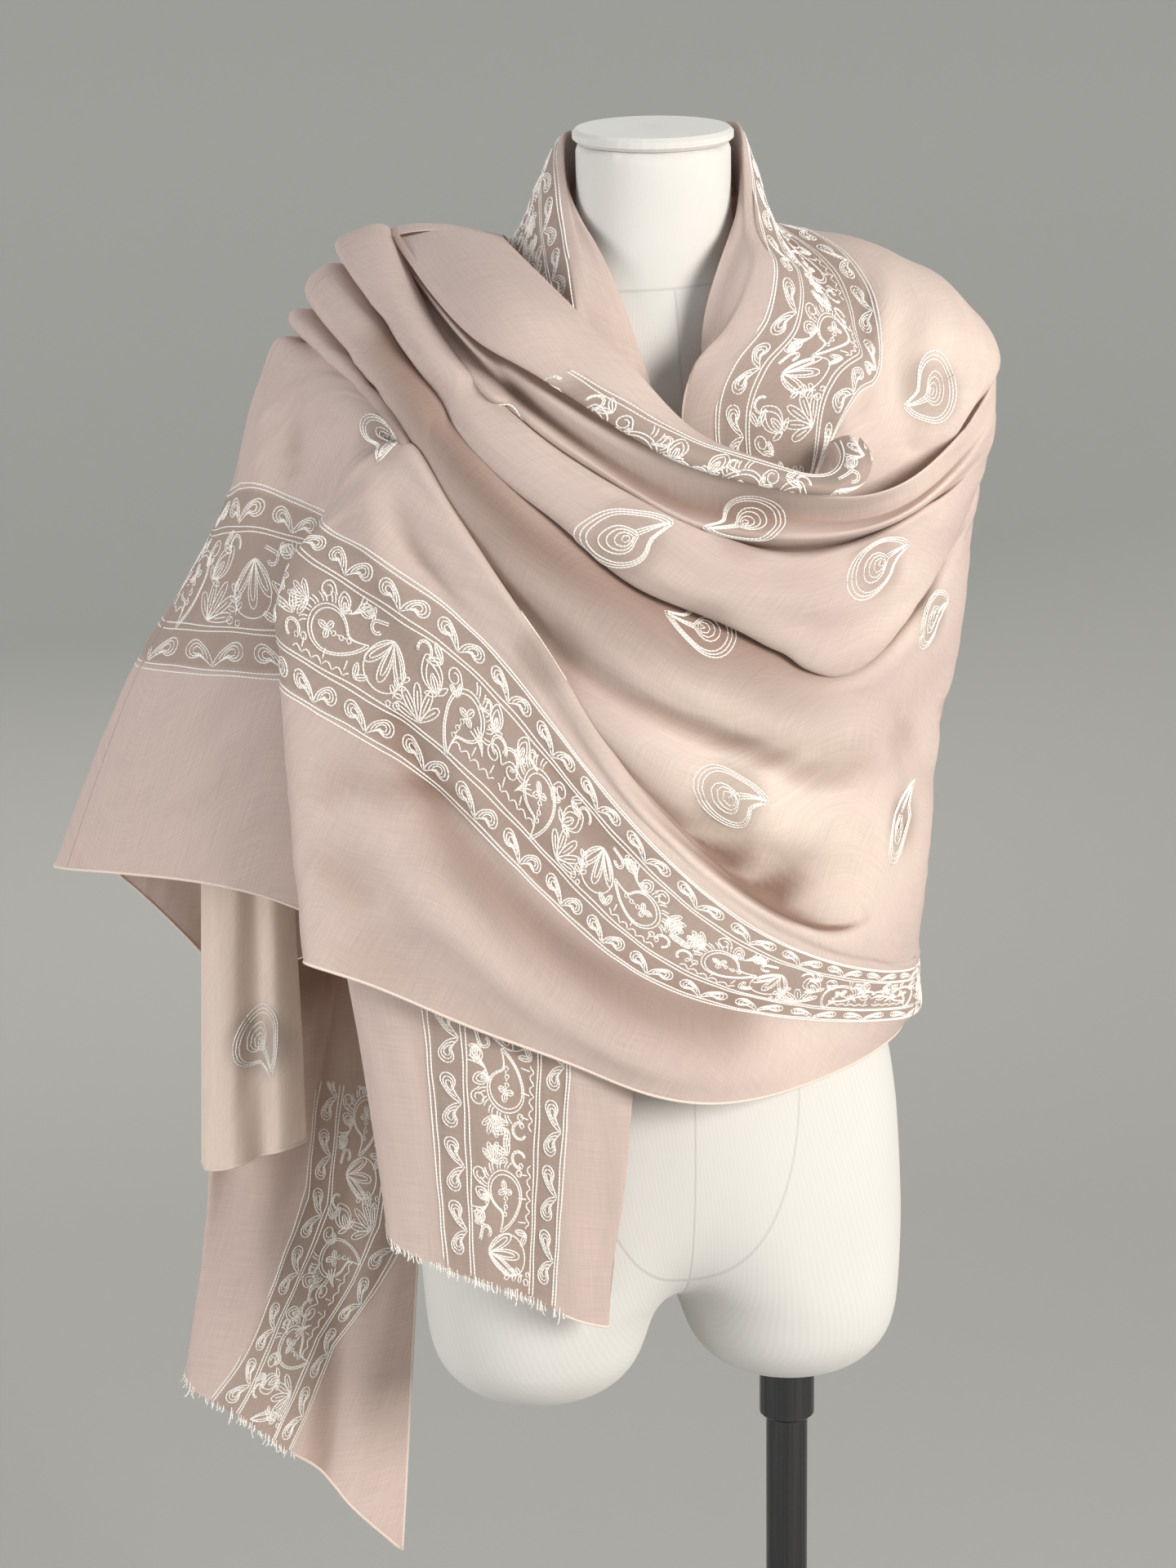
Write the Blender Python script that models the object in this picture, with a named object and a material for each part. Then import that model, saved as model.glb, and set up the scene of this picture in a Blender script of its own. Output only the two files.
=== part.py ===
"""An embroidered shawl wound round a limbless dress form on its stand.

Everything is modelled in millimetres and scaled to metres when a mesh is made. +Z is up, +X is the
viewer's right, the front faces -Y, and the origin is the middle of the base's underside.

The shawl is one rectangle of thin cloth. It is built as the stretches of it that show:
  neck_stretch    round the back of the neck, over the right shoulder and down both sides of the throat
  edge_roll       the embroidered long edge, rolled over, from the throat up to the left shoulder
  front_stretch   the folds across the front, from the right side to the left shoulder and arm side
  back_stretch    the same folds carried round the right side and up across the back
  thrown_stretch  the end thrown over the left shoulder, falling down the back
  side_tail, corner_tail   the two folds of that end which hang lowest
  front_tail      the other end, hanging down the front from under the folds
"""

import math

import bmesh
import bpy
import numpy as np

MM = 0.001
CLOTH = 1.6  # wall of every stretch of cloth
SEAM = 0.8  # gap between two stretches of the same cloth

# ---------------------------------------------------------------- stand and dress form, in mm
BASE_RADIUS, BASE_THICKNESS = 190.0, 10.0
POST_RADIUS = 15.5
SLEEVE_RADIUS, SLEEVE_FOOT = 20.5, 621.0
STUB_FOOT = 666.0  # underside of the two thigh stubs
FORM_TURN = math.radians(12.0)  # the form faces a little to the viewer's right
THIGH_CENTRE = 94.0
NECK_TOP, NECK_FOOT = 1551.0, 1470.0  # the neck is cut off at a slant, as its cap lies
CAP_TILT = math.radians(9.0)
CAP_RADIUS, CAP_THICKNESS = 54.0, 9.0
FIT = 0.3  # gap between pieces that touch

# Sections of one half of the form, top to bottom. "thigh" is how far its centre has moved out from
# the middle of the body, which is what parts the two thighs.
FORM_SECTIONS = (
    # height  half width  front  back  thigh
    (1551.0, 52.0, 53.0, 50.0, 0.0),
    (1530.0, 52.0, 53.0, 51.0, 0.0),
    (1505.0, 53.0, 51.0, 54.0, 0.0),
    (1480.0, 59.0, 52.0, 60.0, 0.0),
    (1462.0, 84.0, 54.0, 68.0, 0.0),
    (1446.0, 130.0, 60.0, 78.0, 0.0),
    (1424.0, 168.0, 68.0, 88.0, 0.0),
    (1392.0, 185.0, 76.0, 96.0, 0.0),
    (1345.0, 184.0, 90.0, 100.0, 0.0),
    (1295.0, 172.0, 104.0, 102.0, 0.0),
    (1245.0, 161.0, 114.0, 98.0, 0.0),
    (1195.0, 147.0, 108.0, 90.0, 0.0),
    (1145.0, 132.0, 94.0, 83.0, 0.0),
    (1095.0, 122.0, 84.0, 79.0, 0.0),
    (1045.0, 127.0, 84.0, 86.0, 0.0),
    (995.0, 144.0, 88.0, 100.0, 2.0),
    (945.0, 160.0, 93.0, 112.0, 6.0),
    (895.0, 171.0, 96.0, 119.0, 14.0),
    (845.0, 176.0, 96.0, 119.0, 30.0),
    (800.0, 178.0, 93.0, 116.0, 52.0),
    (770.0, 178.0, 90.0, 110.0, 70.0),
    (748.0, 177.0, 88.0, 104.0, 84.0),
    (736.0, 176.0, 87.0, 101.0, 90.0),
    (722.0, 175.0, 85.0, 97.0, 93.0),
    (704.0, 172.0, 81.0, 91.0, 94.0),
    (690.0, 166.0, 73.0, 82.0, 94.0),
    (677.0, 154.0, 60.0, 66.0, 94.0),
    (669.0, 138.0, 43.0, 46.0, 94.0),
    (666.0, 121.0, 27.0, 27.0, 94.0),
)

# ---------------------------------------------------------------- the cloth's wrap, in mm
# Plan of the wound cloth at each height: how far it reaches to the front, the back, the left (where
# it flares off the arm side) and the right of the middle.
WRAP = (
    # height  front  back  left  right
    (1490.0, 46.0, 92.0, 236.0, 232.0),
    (1440.0, 80.0, 114.0, 238.0, 234.0),
    (1400.0, 114.0, 124.0, 258.0, 234.0),
    (1350.0, 136.0, 129.0, 278.0, 232.0),
    (1300.0, 143.0, 128.0, 300.0, 222.0),
    (1200.0, 141.0, 121.0, 356.0, 206.0),
    (1100.0, 137.0, 122.0, 402.0, 192.0),
    (1000.0, 143.0, 134.0, 436.0, 190.0),
    (900.0, 148.0, 146.0, 460.0, 188.0),
)

# The folds across the front, top to bottom. "out" is how far the line stands proud of the wrap (a
# ridge) or lies behind it (a trough), "tuck" is how deep the fold is that the cloth makes where it
# flares off the left arm side, and the stations run from the left shoulder to the right side.
FOLD_LINES = (
    # name, out, tuck, (x, z) at eight stations
    ("first_tuck", -2, 0,
        ((-166, 1476), (-120, 1434), (-70, 1405), (-26, 1379),
         (22, 1352), (80, 1322), (160, 1320), (222, 1378))),
    ("first_ridge", 21, 0,
        ((-172, 1480), (-124, 1428), (-76, 1396), (-32, 1370),
         (20, 1350), (80, 1334), (160, 1336), (230, 1390))),
    ("first_crease", 4, 0,
        ((-172, 1474), (-116, 1414), (-72, 1380), (-28, 1348),
         (20, 1324), (80, 1314), (164, 1320), (232, 1376))),
    ("thin_ridge", 15, 0,
        ((-172, 1468), (-120, 1406), (-76, 1374), (-28, 1342),
         (20, 1315), (78, 1304), (164, 1316), (232, 1367))),
    ("second_trough", -8, 0,
        ((-172, 1462), (-126, 1402), (-80, 1367), (-32, 1336),
         (20, 1309), (78, 1292), (164, 1307), (230, 1351))),
    ("second_ridge", 12, 0,
        ((-178, 1484), (-140, 1420), (-88, 1376), (-34, 1340),
         (16, 1315), (80, 1290), (158, 1306), (226, 1336))),
    ("second_face", 15, 0,
        ((-194, 1485), (-156, 1424), (-104, 1364), (-50, 1320),
         (4, 1288), (72, 1266), (152, 1274), (224, 1325))),
    ("second_edge", 8, 0,
        ((-212, 1480), (-165, 1422), (-117, 1356), (-65, 1314),
         (-13, 1272), (64, 1235), (138, 1216), (220, 1317))),
    ("pocket", -12, 0,
        ((-199, 1464), (-160, 1420), (-112, 1360), (-60, 1320),
         (-8, 1277), (68, 1241), (142, 1222), (221, 1311))),
    ("third_ridge", 10, 0,
        ((-215, 1462), (-164, 1402), (-114, 1350), (-64, 1302),
         (-8, 1258), (58, 1223), (136, 1209), (217, 1292))),
    ("third_face", 6, 0,
        ((-227, 1450), (-174, 1397), (-124, 1330), (-72, 1274),
         (-16, 1222), (56, 1188), (138, 1174), (213, 1240))),
    ("belly_valley", -5, 0,
        ((-223, 1438), (-180, 1390), (-132, 1306), (-84, 1246),
         (-24, 1200), (52, 1163), (134, 1142), (208, 1200))),
    ("belly_swell", 1, 0,
        ((-240, 1434), (-180, 1386), (-136, 1305), (-86, 1236),
         (-26, 1172), (50, 1132), (132, 1100), (196, 1144))),
    ("cape_tuck", -10, 0,
        ((-236, 1422), (-184, 1386), (-138, 1304), (-82, 1228),
         (-22, 1142), (52, 1074), (124, 1030), (190, 1058))),
    ("cape_ridge", 7, 0,
        ((-252, 1424), (-200, 1426), (-178, 1390), (-136, 1320),
         (-84, 1240), (-24, 1136), (84, 1036), (182, 982))),
    ("cape", 5, 4,
        ((-270, 1388), (-232, 1388), (-202, 1364), (-152, 1302),
         (-96, 1233), (-27, 1133), (80, 1032), (182, 979))),
    ("border_top", 5, 12,
        ((-292, 1322), (-258, 1332), (-220, 1320), (-168, 1284),
         (-104, 1228), (-30, 1128), (78, 1027), (182, 974))),
    ("border_middle", 4, 20,
        ((-322, 1262), (-276, 1268), (-250, 1266), (-188, 1232),
         (-120, 1180), (-44, 1090), (58, 1006), (181, 956))),
    ("border_foot", 2, 26,
        ((-360, 1200), (-282, 1204), (-250, 1206), (-204, 1178),
         (-136, 1128), (-62, 1050), (38, 986), (180, 938))),
    ("margin", 0, 30,
        ((-392, 1128), (-284, 1132), (-246, 1114), (-202, 1094),
         (-136, 1053), (-60, 998), (44, 950), (176, 934))),
    ("hem", 0, 34,
        ((-420, 1056), (-286, 1058), (-240, 1024), (-198, 1010),
         (-128, 980), (-52, 948), (48, 918), (170, 926))),
)



# Sections of the cloth round the neck, from the left of the throat, round the back and down to the
# right of the throat. Each runs from the hem turned in round the neck, over the fold and the band's
# outer edge, to where it goes under the first fold. "crown" is how far it bows between the last two.
NECK_SECTIONS = (
    # name, hem, fold, band, under, tuck, crown
    ("left_throat",
     (-5, -86, 1396), (-46, -88, 1414), (-54, -91, 1406), (-64, -92, 1398), (-65, -92, 1395), 0),
    ("left_front",
     (-23, -74, 1450), (-49, -75, 1464), (-60, -75, 1452), (-68, -76, 1441), (-69, -76, 1438), 0),
    ("left_side",
     (-42, -46, 1490), (-57, -28, 1507), (-76, -27, 1482), (-84, -28, 1469), (-86, -28, 1466), 1),
    ("left_top",
     (-56, 2, 1512), (-60, 10, 1552), (-90, 15, 1494), (-106, 22, 1468), (-109, 23, 1466), 2),
    ("left_back",
     (-42, 39, 1526), (-45, 46, 1560), (-74, 68, 1494), (-112, 86, 1446), (-114, 87, 1443), 3),
    ("back",
     (-1, 56, 1532), (-1, 62, 1567), (-4, 86, 1488), (-20, 105, 1424), (-20, 105, 1412), 1),
    ("right_back",
     (40, 41, 1528), (43, 47, 1562), (70, 74, 1495), (132, 92, 1412), (138, 96, 1387), 6),
    ("right_top",
     (57, 2, 1514), (60, 10, 1555), (79, 14, 1497), (227, 10, 1408), (204, 8, 1371), 26),
    ("right_side",
     (46, -48, 1484), (61, -36, 1498), (99, -38, 1467), (216, -52, 1388), (183, -44, 1353), 23),
    ("right_front",
     (33, -72, 1450), (66, -68, 1477), (112, -72, 1444), (190, -69, 1353), (172, -62, 1330), 16),
    ("right_chest",
     (28, -86, 1420), (49, -92, 1439), (127, -94, 1416), (158, -83, 1329), (150, -79, 1312), 9),
    ("right_band",
     (32, -98, 1398), (22, -106, 1410), (118, -108, 1394), (120, -108, 1314), (120, -107, 1311), 5),
    ("right_throat",
     (38, -104, 1372), (13, -112, 1378), (102, -114, 1360), (94, -112, 1306), (93, -111, 1303), 3),
    ("right_foot",
     (44, -107, 1350), (18, -112, 1356), (90, -115, 1330), (74, -112, 1302), (73, -111, 1299), 0),
)

# Sections across the rolled edge, from the left shoulder to the turn at the throat.
ROLL_SECTIONS = (
    # name, top, middle, edge
    ("shoulder", (-100, -4, 1488), (-140, -7, 1495), (-175, -5, 1490)),
    ("collar_bone", (-70, -82, 1462), (-101, -100, 1460), (-130, -98, 1440)),
    ("upper_chest", (-40, -114, 1433), (-66, -132, 1422), (-88, -130, 1413)),
    ("chest", (-12, -134, 1405), (-30, -152, 1392), (-40, -150, 1384)),
    ("breastbone", (20, -146, 1373), (10, -165, 1365), (4, -163, 1358)),
    ("turn_start", (60, -152, 1355), (56, -168, 1349), (52, -166, 1342)),
    ("turn", (98, -150, 1344), (103, -164, 1338), (108, -160, 1333)),
    ("tuck", (112, -140, 1354), (124, -152, 1350), (130, -148, 1346)),
    ("end", (108, -126, 1362), (120, -130, 1366), (124, -130, 1360)),
)

# Vertical folds of the ends that hang. Two hang from an edge of the thrown end, so only their feet
# are listed, from the edge's left to its right.
SIDE_TAIL_FEET = (
    # x, y, z
    (-340, 34, 822),
    (-330, 6, 826),
    (-312, -6, 832),
    (-292, 2, 838),
    (-276, -8, 845),
    (-259, 6, 849),
    (-272, 26, 852),
)
CORNER_TAIL_FEET = (
    (-352, 66, 668),
    (-362, 46, 642),
    (-318, 24, 620),
    (-289, 20, 598),
    (-262, 34, 572),
    (-238, 26, 545),
    (-202, 40, 500),
)
FRONT_TAIL_FOLDS = (
    # top x, y, z, foot x, y, z
    (-213, -94, 1080, -186, -104, 842),
    (-222, -109, 1072, -190, -122, 822),
    (-172, -128, 1068, -156, -130, 806),
    (-124, -137, 1062, -126, -135, 795),
    (-84, -134, 1052, -98, -129, 782),
    (-48, -139, 1042, -72, -132, 769),
    (-12, -132, 1034, -42, -124, 757),
    (-22, -125, 1030, -54, -120, 764),
)

PER_STATION = 3  # points of the mesh along a fold line, for each of its stations
THROWN_STATIONS = 5
NECK_SAMPLES = 22


# ---------------------------------------------------------------- helpers
def clear_scene():
    for obj in list(bpy.data.objects):
        bpy.data.objects.remove(obj, do_unlink=True)


def material(name, colour, roughness, metallic=0.0):
    made = bpy.data.materials.new(name)
    made.use_nodes = True
    shader = made.node_tree.nodes["Principled BSDF"]
    shader.inputs["Base Color"].default_value = (*colour, 1.0)
    shader.inputs["Roughness"].default_value = roughness
    shader.inputs["Metallic"].default_value = metallic
    return made


def add_object(name, points, faces, finish):
    """One object from points in millimetres, with its faces turned outwards."""
    mesh = bpy.data.meshes.new(name)
    mesh.from_pydata((np.asarray(points, float) * MM).tolist(), [], faces)
    work = bmesh.new()
    work.from_mesh(mesh)
    bmesh.ops.recalc_face_normals(work, faces=work.faces)
    work.to_mesh(mesh)
    work.free()
    mesh.shade_smooth()
    mesh.materials.append(finish)
    obj = bpy.data.objects.new(name, mesh)
    bpy.context.scene.collection.objects.link(obj)
    return obj


def spline(points, count):
    """Natural cubic spline through points that are evenly spaced in its parameter."""
    points = np.asarray(points, float)
    last = len(points) - 1
    system = np.eye(last + 1)
    right = np.zeros_like(points)
    for i in range(1, last):
        system[i, i - 1 : i + 2] = (1.0, 4.0, 1.0)
        right[i] = 6.0 * (points[i - 1] - 2.0 * points[i] + points[i + 1])
    bend = np.linalg.solve(system, right)
    at = np.linspace(0.0, last, count)
    i = np.minimum(at.astype(int), last - 1)
    t = (at - i)[:, None]
    s = 1.0 - t
    return (
        s * points[i]
        + t * points[i + 1]
        + ((s**3 - s) * bend[i] + (t**3 - t) * bend[i + 1]) / 6.0
    )


def across(lines, steps):
    """Centripetal Catmull-Rom rows through lines of points, with the given steps in each gap.

    Its knots are the square roots of the gaps, so a narrow fold beside a wide panel doesn't ring.
    """
    lines = np.asarray(lines, float)
    ghosts = np.concatenate([2 * lines[:1] - lines[1:2], lines, 2 * lines[-1:] - lines[-2:-1]])
    rows = []
    for k in range(len(lines) - 1):
        p0, p1, p2, p3 = ghosts[k : k + 4]
        k1 = np.sqrt(np.linalg.norm(p1 - p0, axis=1) + 1e-6)[:, None]
        k2 = k1 + np.sqrt(np.linalg.norm(p2 - p1, axis=1) + 1e-6)[:, None]
        k3 = k2 + np.sqrt(np.linalg.norm(p3 - p2, axis=1) + 1e-6)[:, None]
        for step in range(steps):
            t = k1 + (k2 - k1) * step / steps
            a1 = (k1 - t) / k1 * p0 + t / k1 * p1
            a2 = (k2 - t) / (k2 - k1) * p1 + (t - k1) / (k2 - k1) * p2
            a3 = (k3 - t) / (k3 - k2) * p2 + (t - k2) / (k3 - k2) * p3
            b1 = (k2 - t) / k2 * a1 + t / k2 * a2
            b2 = (k3 - t) / (k3 - k1) * a2 + (t - k1) / (k3 - k1) * a3
            rows.append((k2 - t) / (k2 - k1) * b1 + (t - k1) / (k2 - k1) * b2)
    rows.append(lines[-1])
    return np.array(rows)


def sheet_normals(grid):
    normals = np.cross(np.gradient(grid, axis=0), np.gradient(grid, axis=1))
    return normals / (np.linalg.norm(normals, axis=2, keepdims=True) + 1e-9)


def cloth_wall(name, grid, finish, normals=None):
    """A closed wall of cloth, half its thickness to each side of a grid of points."""
    grid = np.asarray(grid, float)
    rows, cols = grid.shape[:2]
    normals = sheet_normals(grid) if normals is None else normals
    points = np.concatenate(
        [(grid + side * normals * CLOTH / 2).reshape(-1, 3) for side in (1.0, -1.0)]
    )
    index = np.arange(rows * cols).reshape(rows, cols)
    other = index + rows * cols
    faces = []
    for i in range(rows - 1):
        for j in range(cols - 1):
            a, b, c, d = index[i, j], index[i, j + 1], index[i + 1, j + 1], index[i + 1, j]
            faces.append((a, b, c, d))
            faces.append(tuple(int(v) + rows * cols for v in (d, c, b, a)))
    rim = [*index[0], *index[1:, -1], *index[-1, -2::-1], *index[-2:0:-1, 0]]
    far = [*other[0], *other[1:, -1], *other[-1, -2::-1], *other[-2:0:-1, 0]]
    for k in range(len(rim)):
        n = (k + 1) % len(rim)
        faces.append((rim[n], rim[k], far[k], far[n]))
    faces = [tuple(int(v) for v in face) for face in faces]
    return add_object(name, points, faces, finish)


def turned(name, profile, centre, segments, finish):
    """A solid of revolution about a vertical axis: profile holds (radius, height), closed on it."""
    points, faces = [], []
    for radius, height in profile:
        for k in range(segments):
            angle = 2.0 * math.pi * k / segments
            points.append(
                (centre[0] + radius * math.cos(angle), centre[1] + radius * math.sin(angle), height)
            )
    rings = len(profile)
    for i in range(rings):
        for k in range(segments):
            n, j = (k + 1) % segments, (i + 1) % rings
            faces.append((i * segments + k, i * segments + n, j * segments + n, j * segments + k))
    return add_object(name, points, faces, finish)


def solid_turned(name, profile, centre, segments, finish):
    """As turned, but solid: the first and the last ring are closed by a flat face."""
    points, faces = [], []
    for radius, height in profile:
        for k in range(segments):
            angle = 2.0 * math.pi * k / segments
            points.append(
                (centre[0] + radius * math.cos(angle), centre[1] + radius * math.sin(angle), height)
            )
    for i in range(len(profile) - 1):
        for k in range(segments):
            n = (k + 1) % segments
            faces.append(
                (i * segments + k, i * segments + n, (i + 1) * segments + n, (i + 1) * segments + k)
            )
    faces.append(tuple(range(segments)))
    faces.append(tuple(range((len(profile) - 1) * segments, len(profile) * segments)))
    return add_object(name, points, faces, finish)


def union(obj, other):
    cut = obj.modifiers.new("join", "BOOLEAN")
    cut.operation = "UNION"
    cut.object = other
    other.hide_render = True
    other.display_type = "WIRE"


# ---------------------------------------------------------------- the dress form
def turn_form(points):
    c, s = math.cos(FORM_TURN), math.sin(FORM_TURN)
    x, y = points[..., 0].copy(), points[..., 1].copy()
    points[..., 0] = x * c - y * s
    points[..., 1] = x * s + y * c
    return points


def half_form(name, side, finish, rings=46, segments=40):
    """One half of the body, with its thigh. Each section is an ellipse whose centre moves out from
    the middle; what crosses the middle is held just past it, so the two halves join up to the crotch.
    """
    rows = spline(FORM_SECTIONS, rings)
    angle = np.linspace(0.0, 2.0 * math.pi, segments, endpoint=False) + math.pi / segments
    points = []
    for height, half_width, front, back, thigh in rows:
        x = thigh + (half_width - thigh) * np.cos(angle)
        depth = np.where(np.sin(angle) < 0.0, front, back)
        y = depth * np.sin(angle)
        points.append(np.stack([side * np.maximum(x, -1.0), y, np.full(segments, height)], axis=1))
    points = turn_form(np.array(points)).reshape(-1, 3)
    neck = np.clip((points[:, 2] - NECK_FOOT) / (NECK_TOP - NECK_FOOT), 0.0, 1.0)
    points[:, 2] += neck * math.tan(CAP_TILT) * points[:, 1]
    faces = [tuple(range(segments)), tuple(range((rings - 1) * segments, rings * segments))]
    for i in range(rings - 1):
        for k in range(segments):
            n = (k + 1) % segments
            faces.append(
                (i * segments + k, i * segments + n, (i + 1) * segments + n, (i + 1) * segments + k)
            )
    return add_object(name, points, faces, finish)


def build_form(canvas):
    body = half_form("form_body", 1.0, canvas)
    union(body, half_form("form_half_guide", -1.0, canvas))
    cap = solid_turned(
        "neck_cap",
        (
            (CAP_RADIUS - 3.0, 0.0),
            (CAP_RADIUS, 2.5),
            (CAP_RADIUS, CAP_THICKNESS - 2.5),
            (CAP_RADIUS - 2.5, CAP_THICKNESS),
        ),
        (0.0, 0.0),
        40,
        canvas,
    )
    cap.location = (0.0, 0.0, (NECK_TOP + FIT / math.cos(CAP_TILT)) * MM)
    cap.rotation_euler = (CAP_TILT, 0.0, 0.0)


def build_stand(steel):
    """The post stands in the middle of the thigh stub that it carries, off the base's middle."""
    post = (THIGH_CENTRE * math.cos(FORM_TURN), THIGH_CENTRE * math.sin(FORM_TURN))
    solid_turned(
        "base",
        (
            (BASE_RADIUS, 0.0),
            (BASE_RADIUS, BASE_THICKNESS - 2.0),
            (BASE_RADIUS - 2.0, BASE_THICKNESS),
        ),
        (0.0, 0.0),
        64,
        steel,
    )
    solid_turned(
        "post",
        ((POST_RADIUS, BASE_THICKNESS + FIT), (POST_RADIUS, STUB_FOOT - FIT)),
        post,
        24,
        steel,
    )
    bore = POST_RADIUS + FIT
    turned(
        "post_sleeve",
        (
            (bore, SLEEVE_FOOT),
            (SLEEVE_RADIUS - 1.5, SLEEVE_FOOT),
            (SLEEVE_RADIUS, SLEEVE_FOOT + 1.5),
            (SLEEVE_RADIUS, STUB_FOOT - FIT),
            (bore, STUB_FOOT - FIT),
        ),
        post,
        24,
        steel,
    )


# ---------------------------------------------------------------- the wound cloth
def wrap_at(height, column):
    table = np.array(WRAP)[::-1]
    return np.interp(height, table[:, 0], table[:, column])


def wrap_depth(x, z, column):
    """Depth of the wrap's plan at a place: an ellipse through its left, right and front or back."""
    left, right = wrap_at(z, 3), wrap_at(z, 4)
    share = (x - (right - left) / 2.0) / ((right + left) / 2.0)
    return wrap_at(z, column) * math.sqrt(max(0.0, 1.0 - share * share))


def front_stations(out, tuck, places):
    """Points of one fold line, from the left shoulder to the right side."""
    points = [(x, -wrap_depth(x, z, 1) - out, z) for x, z in places]
    points[0] = (places[0][0], 0.0, places[0][1])
    points[-1] = (places[-1][0], 0.0, places[-1][1])
    near, edge = np.array(points[1]), np.array(points[2])
    hidden = (near + edge) / 2.0
    if tuck:
        near += (0.0, 1.2 * tuck, 0.0)
        hidden = edge + (0.9 * tuck, 1.1 * tuck, -0.1 * tuck)
    points[1:2] = [tuple(near), tuple(hidden)]
    return points


def back_stations(out, share, start):
    """Each fold goes on round the back and up to the left of the neck, where all come together."""
    x0, z0 = start
    x1, z1 = -70.0 - 110.0 * share, 1446.0 - 44.0 * share + 0.5 * out
    points = []
    for sideways, climb in ((0.08, 0.06), (0.30, 0.22), (0.58, 0.50), (0.82, 0.80), (1.0, 1.0)):
        x, z = x0 + (x1 - x0) * sideways, z0 + (z1 - z0) * climb
        points.append((x, wrap_depth(x, z, 2) + 0.6 * out, z))
    return points


def thrown_stations(out, share, start):
    """Each fold goes on over the left shoulder, or round the left arm side, and down the back."""
    x0, z0 = start
    x1, z1 = -16.0 - 310.0 * share, 978.0 - 20.0 * share
    y1 = 150.0 - 80.0 * share**1.6
    pleat = 9.0 * math.sin(9.0 * math.pi * share) + 0.3 * out
    points = []
    for sideways, depth, fall in (
        (0.03, 0.45, 0.01),
        (0.16, 0.88, 0.12),
        (0.46, 1.0, 0.42),
        (0.75, 1.0, 0.72),
        (1.0, 1.0, 1.0),
    ):
        x, z = x0 + (x1 - x0) * sideways, z0 + (z1 - z0) * fall
        points.append((x, y1 * depth + pleat * math.sin(math.pi * fall / 2.0), z))
    return points


def ring_lines():
    """The fold lines whole: up the back, over the shoulder, across the front and round the back."""
    last = len(FOLD_LINES) - 1
    lines = []
    for k, (_, out, tuck, places) in enumerate(FOLD_LINES):
        share = 0.12 + 0.88 * k / last
        thrown = thrown_stations(out, share, places[0])
        points = [*thrown[::-1], *front_stations(out, tuck, places)]
        points += back_stations(out, k / last, places[-1])
        lines.append(spline(points, PER_STATION * (len(points) - 1) + 1))
    return lines


def roll_lines():
    """Rows across the rolled edge, thrown over the shoulder at one end: its hidden margin, top,
    middle and edge, and what turns under it."""
    top, middle, edge = (
        np.array([section[k] for section in ROLL_SECTIONS], float) for k in (1, 2, 3)
    )
    rows = (
        top + (-3.0, 7.0, -8.0),
        top + (-1.0, 4.0, -3.0),
        top,
        middle,
        edge,
        edge + (3.0, 10.0, 4.0),
    )
    lines = []
    for k, row in enumerate(rows):
        thrown = thrown_stations(0.0, 0.02 * k, (row[0][0], row[0][2]))
        row[0][1] = 0.0
        points = [*thrown[::-1], *row]
        lines.append(spline(points, PER_STATION * (len(points) - 1) + 1))
    return lines


def neck_lines(samples):
    """Rows from the hem turned in round the neck, over the fold, to where the cloth tucks under."""
    hem, fold, band, under, tuck = (
        np.array([section[k] for section in NECK_SECTIONS], float) for k in (1, 2, 3, 4, 5)
    )
    crown = np.array([section[6] for section in NECK_SECTIONS], float)[:, None]
    bow = band - (0.0, 0.0, 1380.0)
    bow /= np.linalg.norm(bow, axis=1, keepdims=True)
    rows = (
        hem,
        0.25 * hem + 0.75 * fold,
        fold,
        0.55 * fold + 0.45 * band + 3.0 * bow,
        band,
        0.66 * band + 0.34 * under + 0.8 * crown * bow,
        0.30 * band + 0.70 * under + 0.9 * crown * bow,
        under,
        tuck,
    )
    return [spline(row, samples) for row in rows]


def stretch(name, grid, start, stop, finish):
    """The columns start to stop of a sheet, as a wall that stops half a seam short of its ends.

    Its thickness follows the whole sheet, so that two stretches of one sheet meet squarely.
    """
    normals = sheet_normals(grid)
    part = grid[:, start : stop + 1].copy()
    for end, inner in ((0, 1), (-1, -2)):
        along = part[:, inner] - part[:, end]
        along /= np.linalg.norm(along, axis=1, keepdims=True)
        part[:, end] += along * SEAM / 2.0
    cloth_wall(name, part, finish, normals[:, start : stop + 1])


def tail(name, tops, feet, finish, rows=6, steps=2):
    """A hanging end: its folds run straight down from the tops to the feet, and round off between."""
    fall = np.linspace(0.0, 1.0, rows)[:, None]
    lines = [top + (foot - top) * fall for top, foot in zip(tops, feet)]
    cloth_wall(name, across(lines, steps), finish)


def places_under(line, below, start, stop, count):
    """Points below a line, from one share of its length to another."""
    at = np.linspace(start, stop, count) * (len(line) - 1)
    places = [np.interp(at, np.arange(len(line)), line[:, k]) for k in range(3)]
    return np.stack(places, axis=1) - (0.0, 0.0, below)


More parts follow.
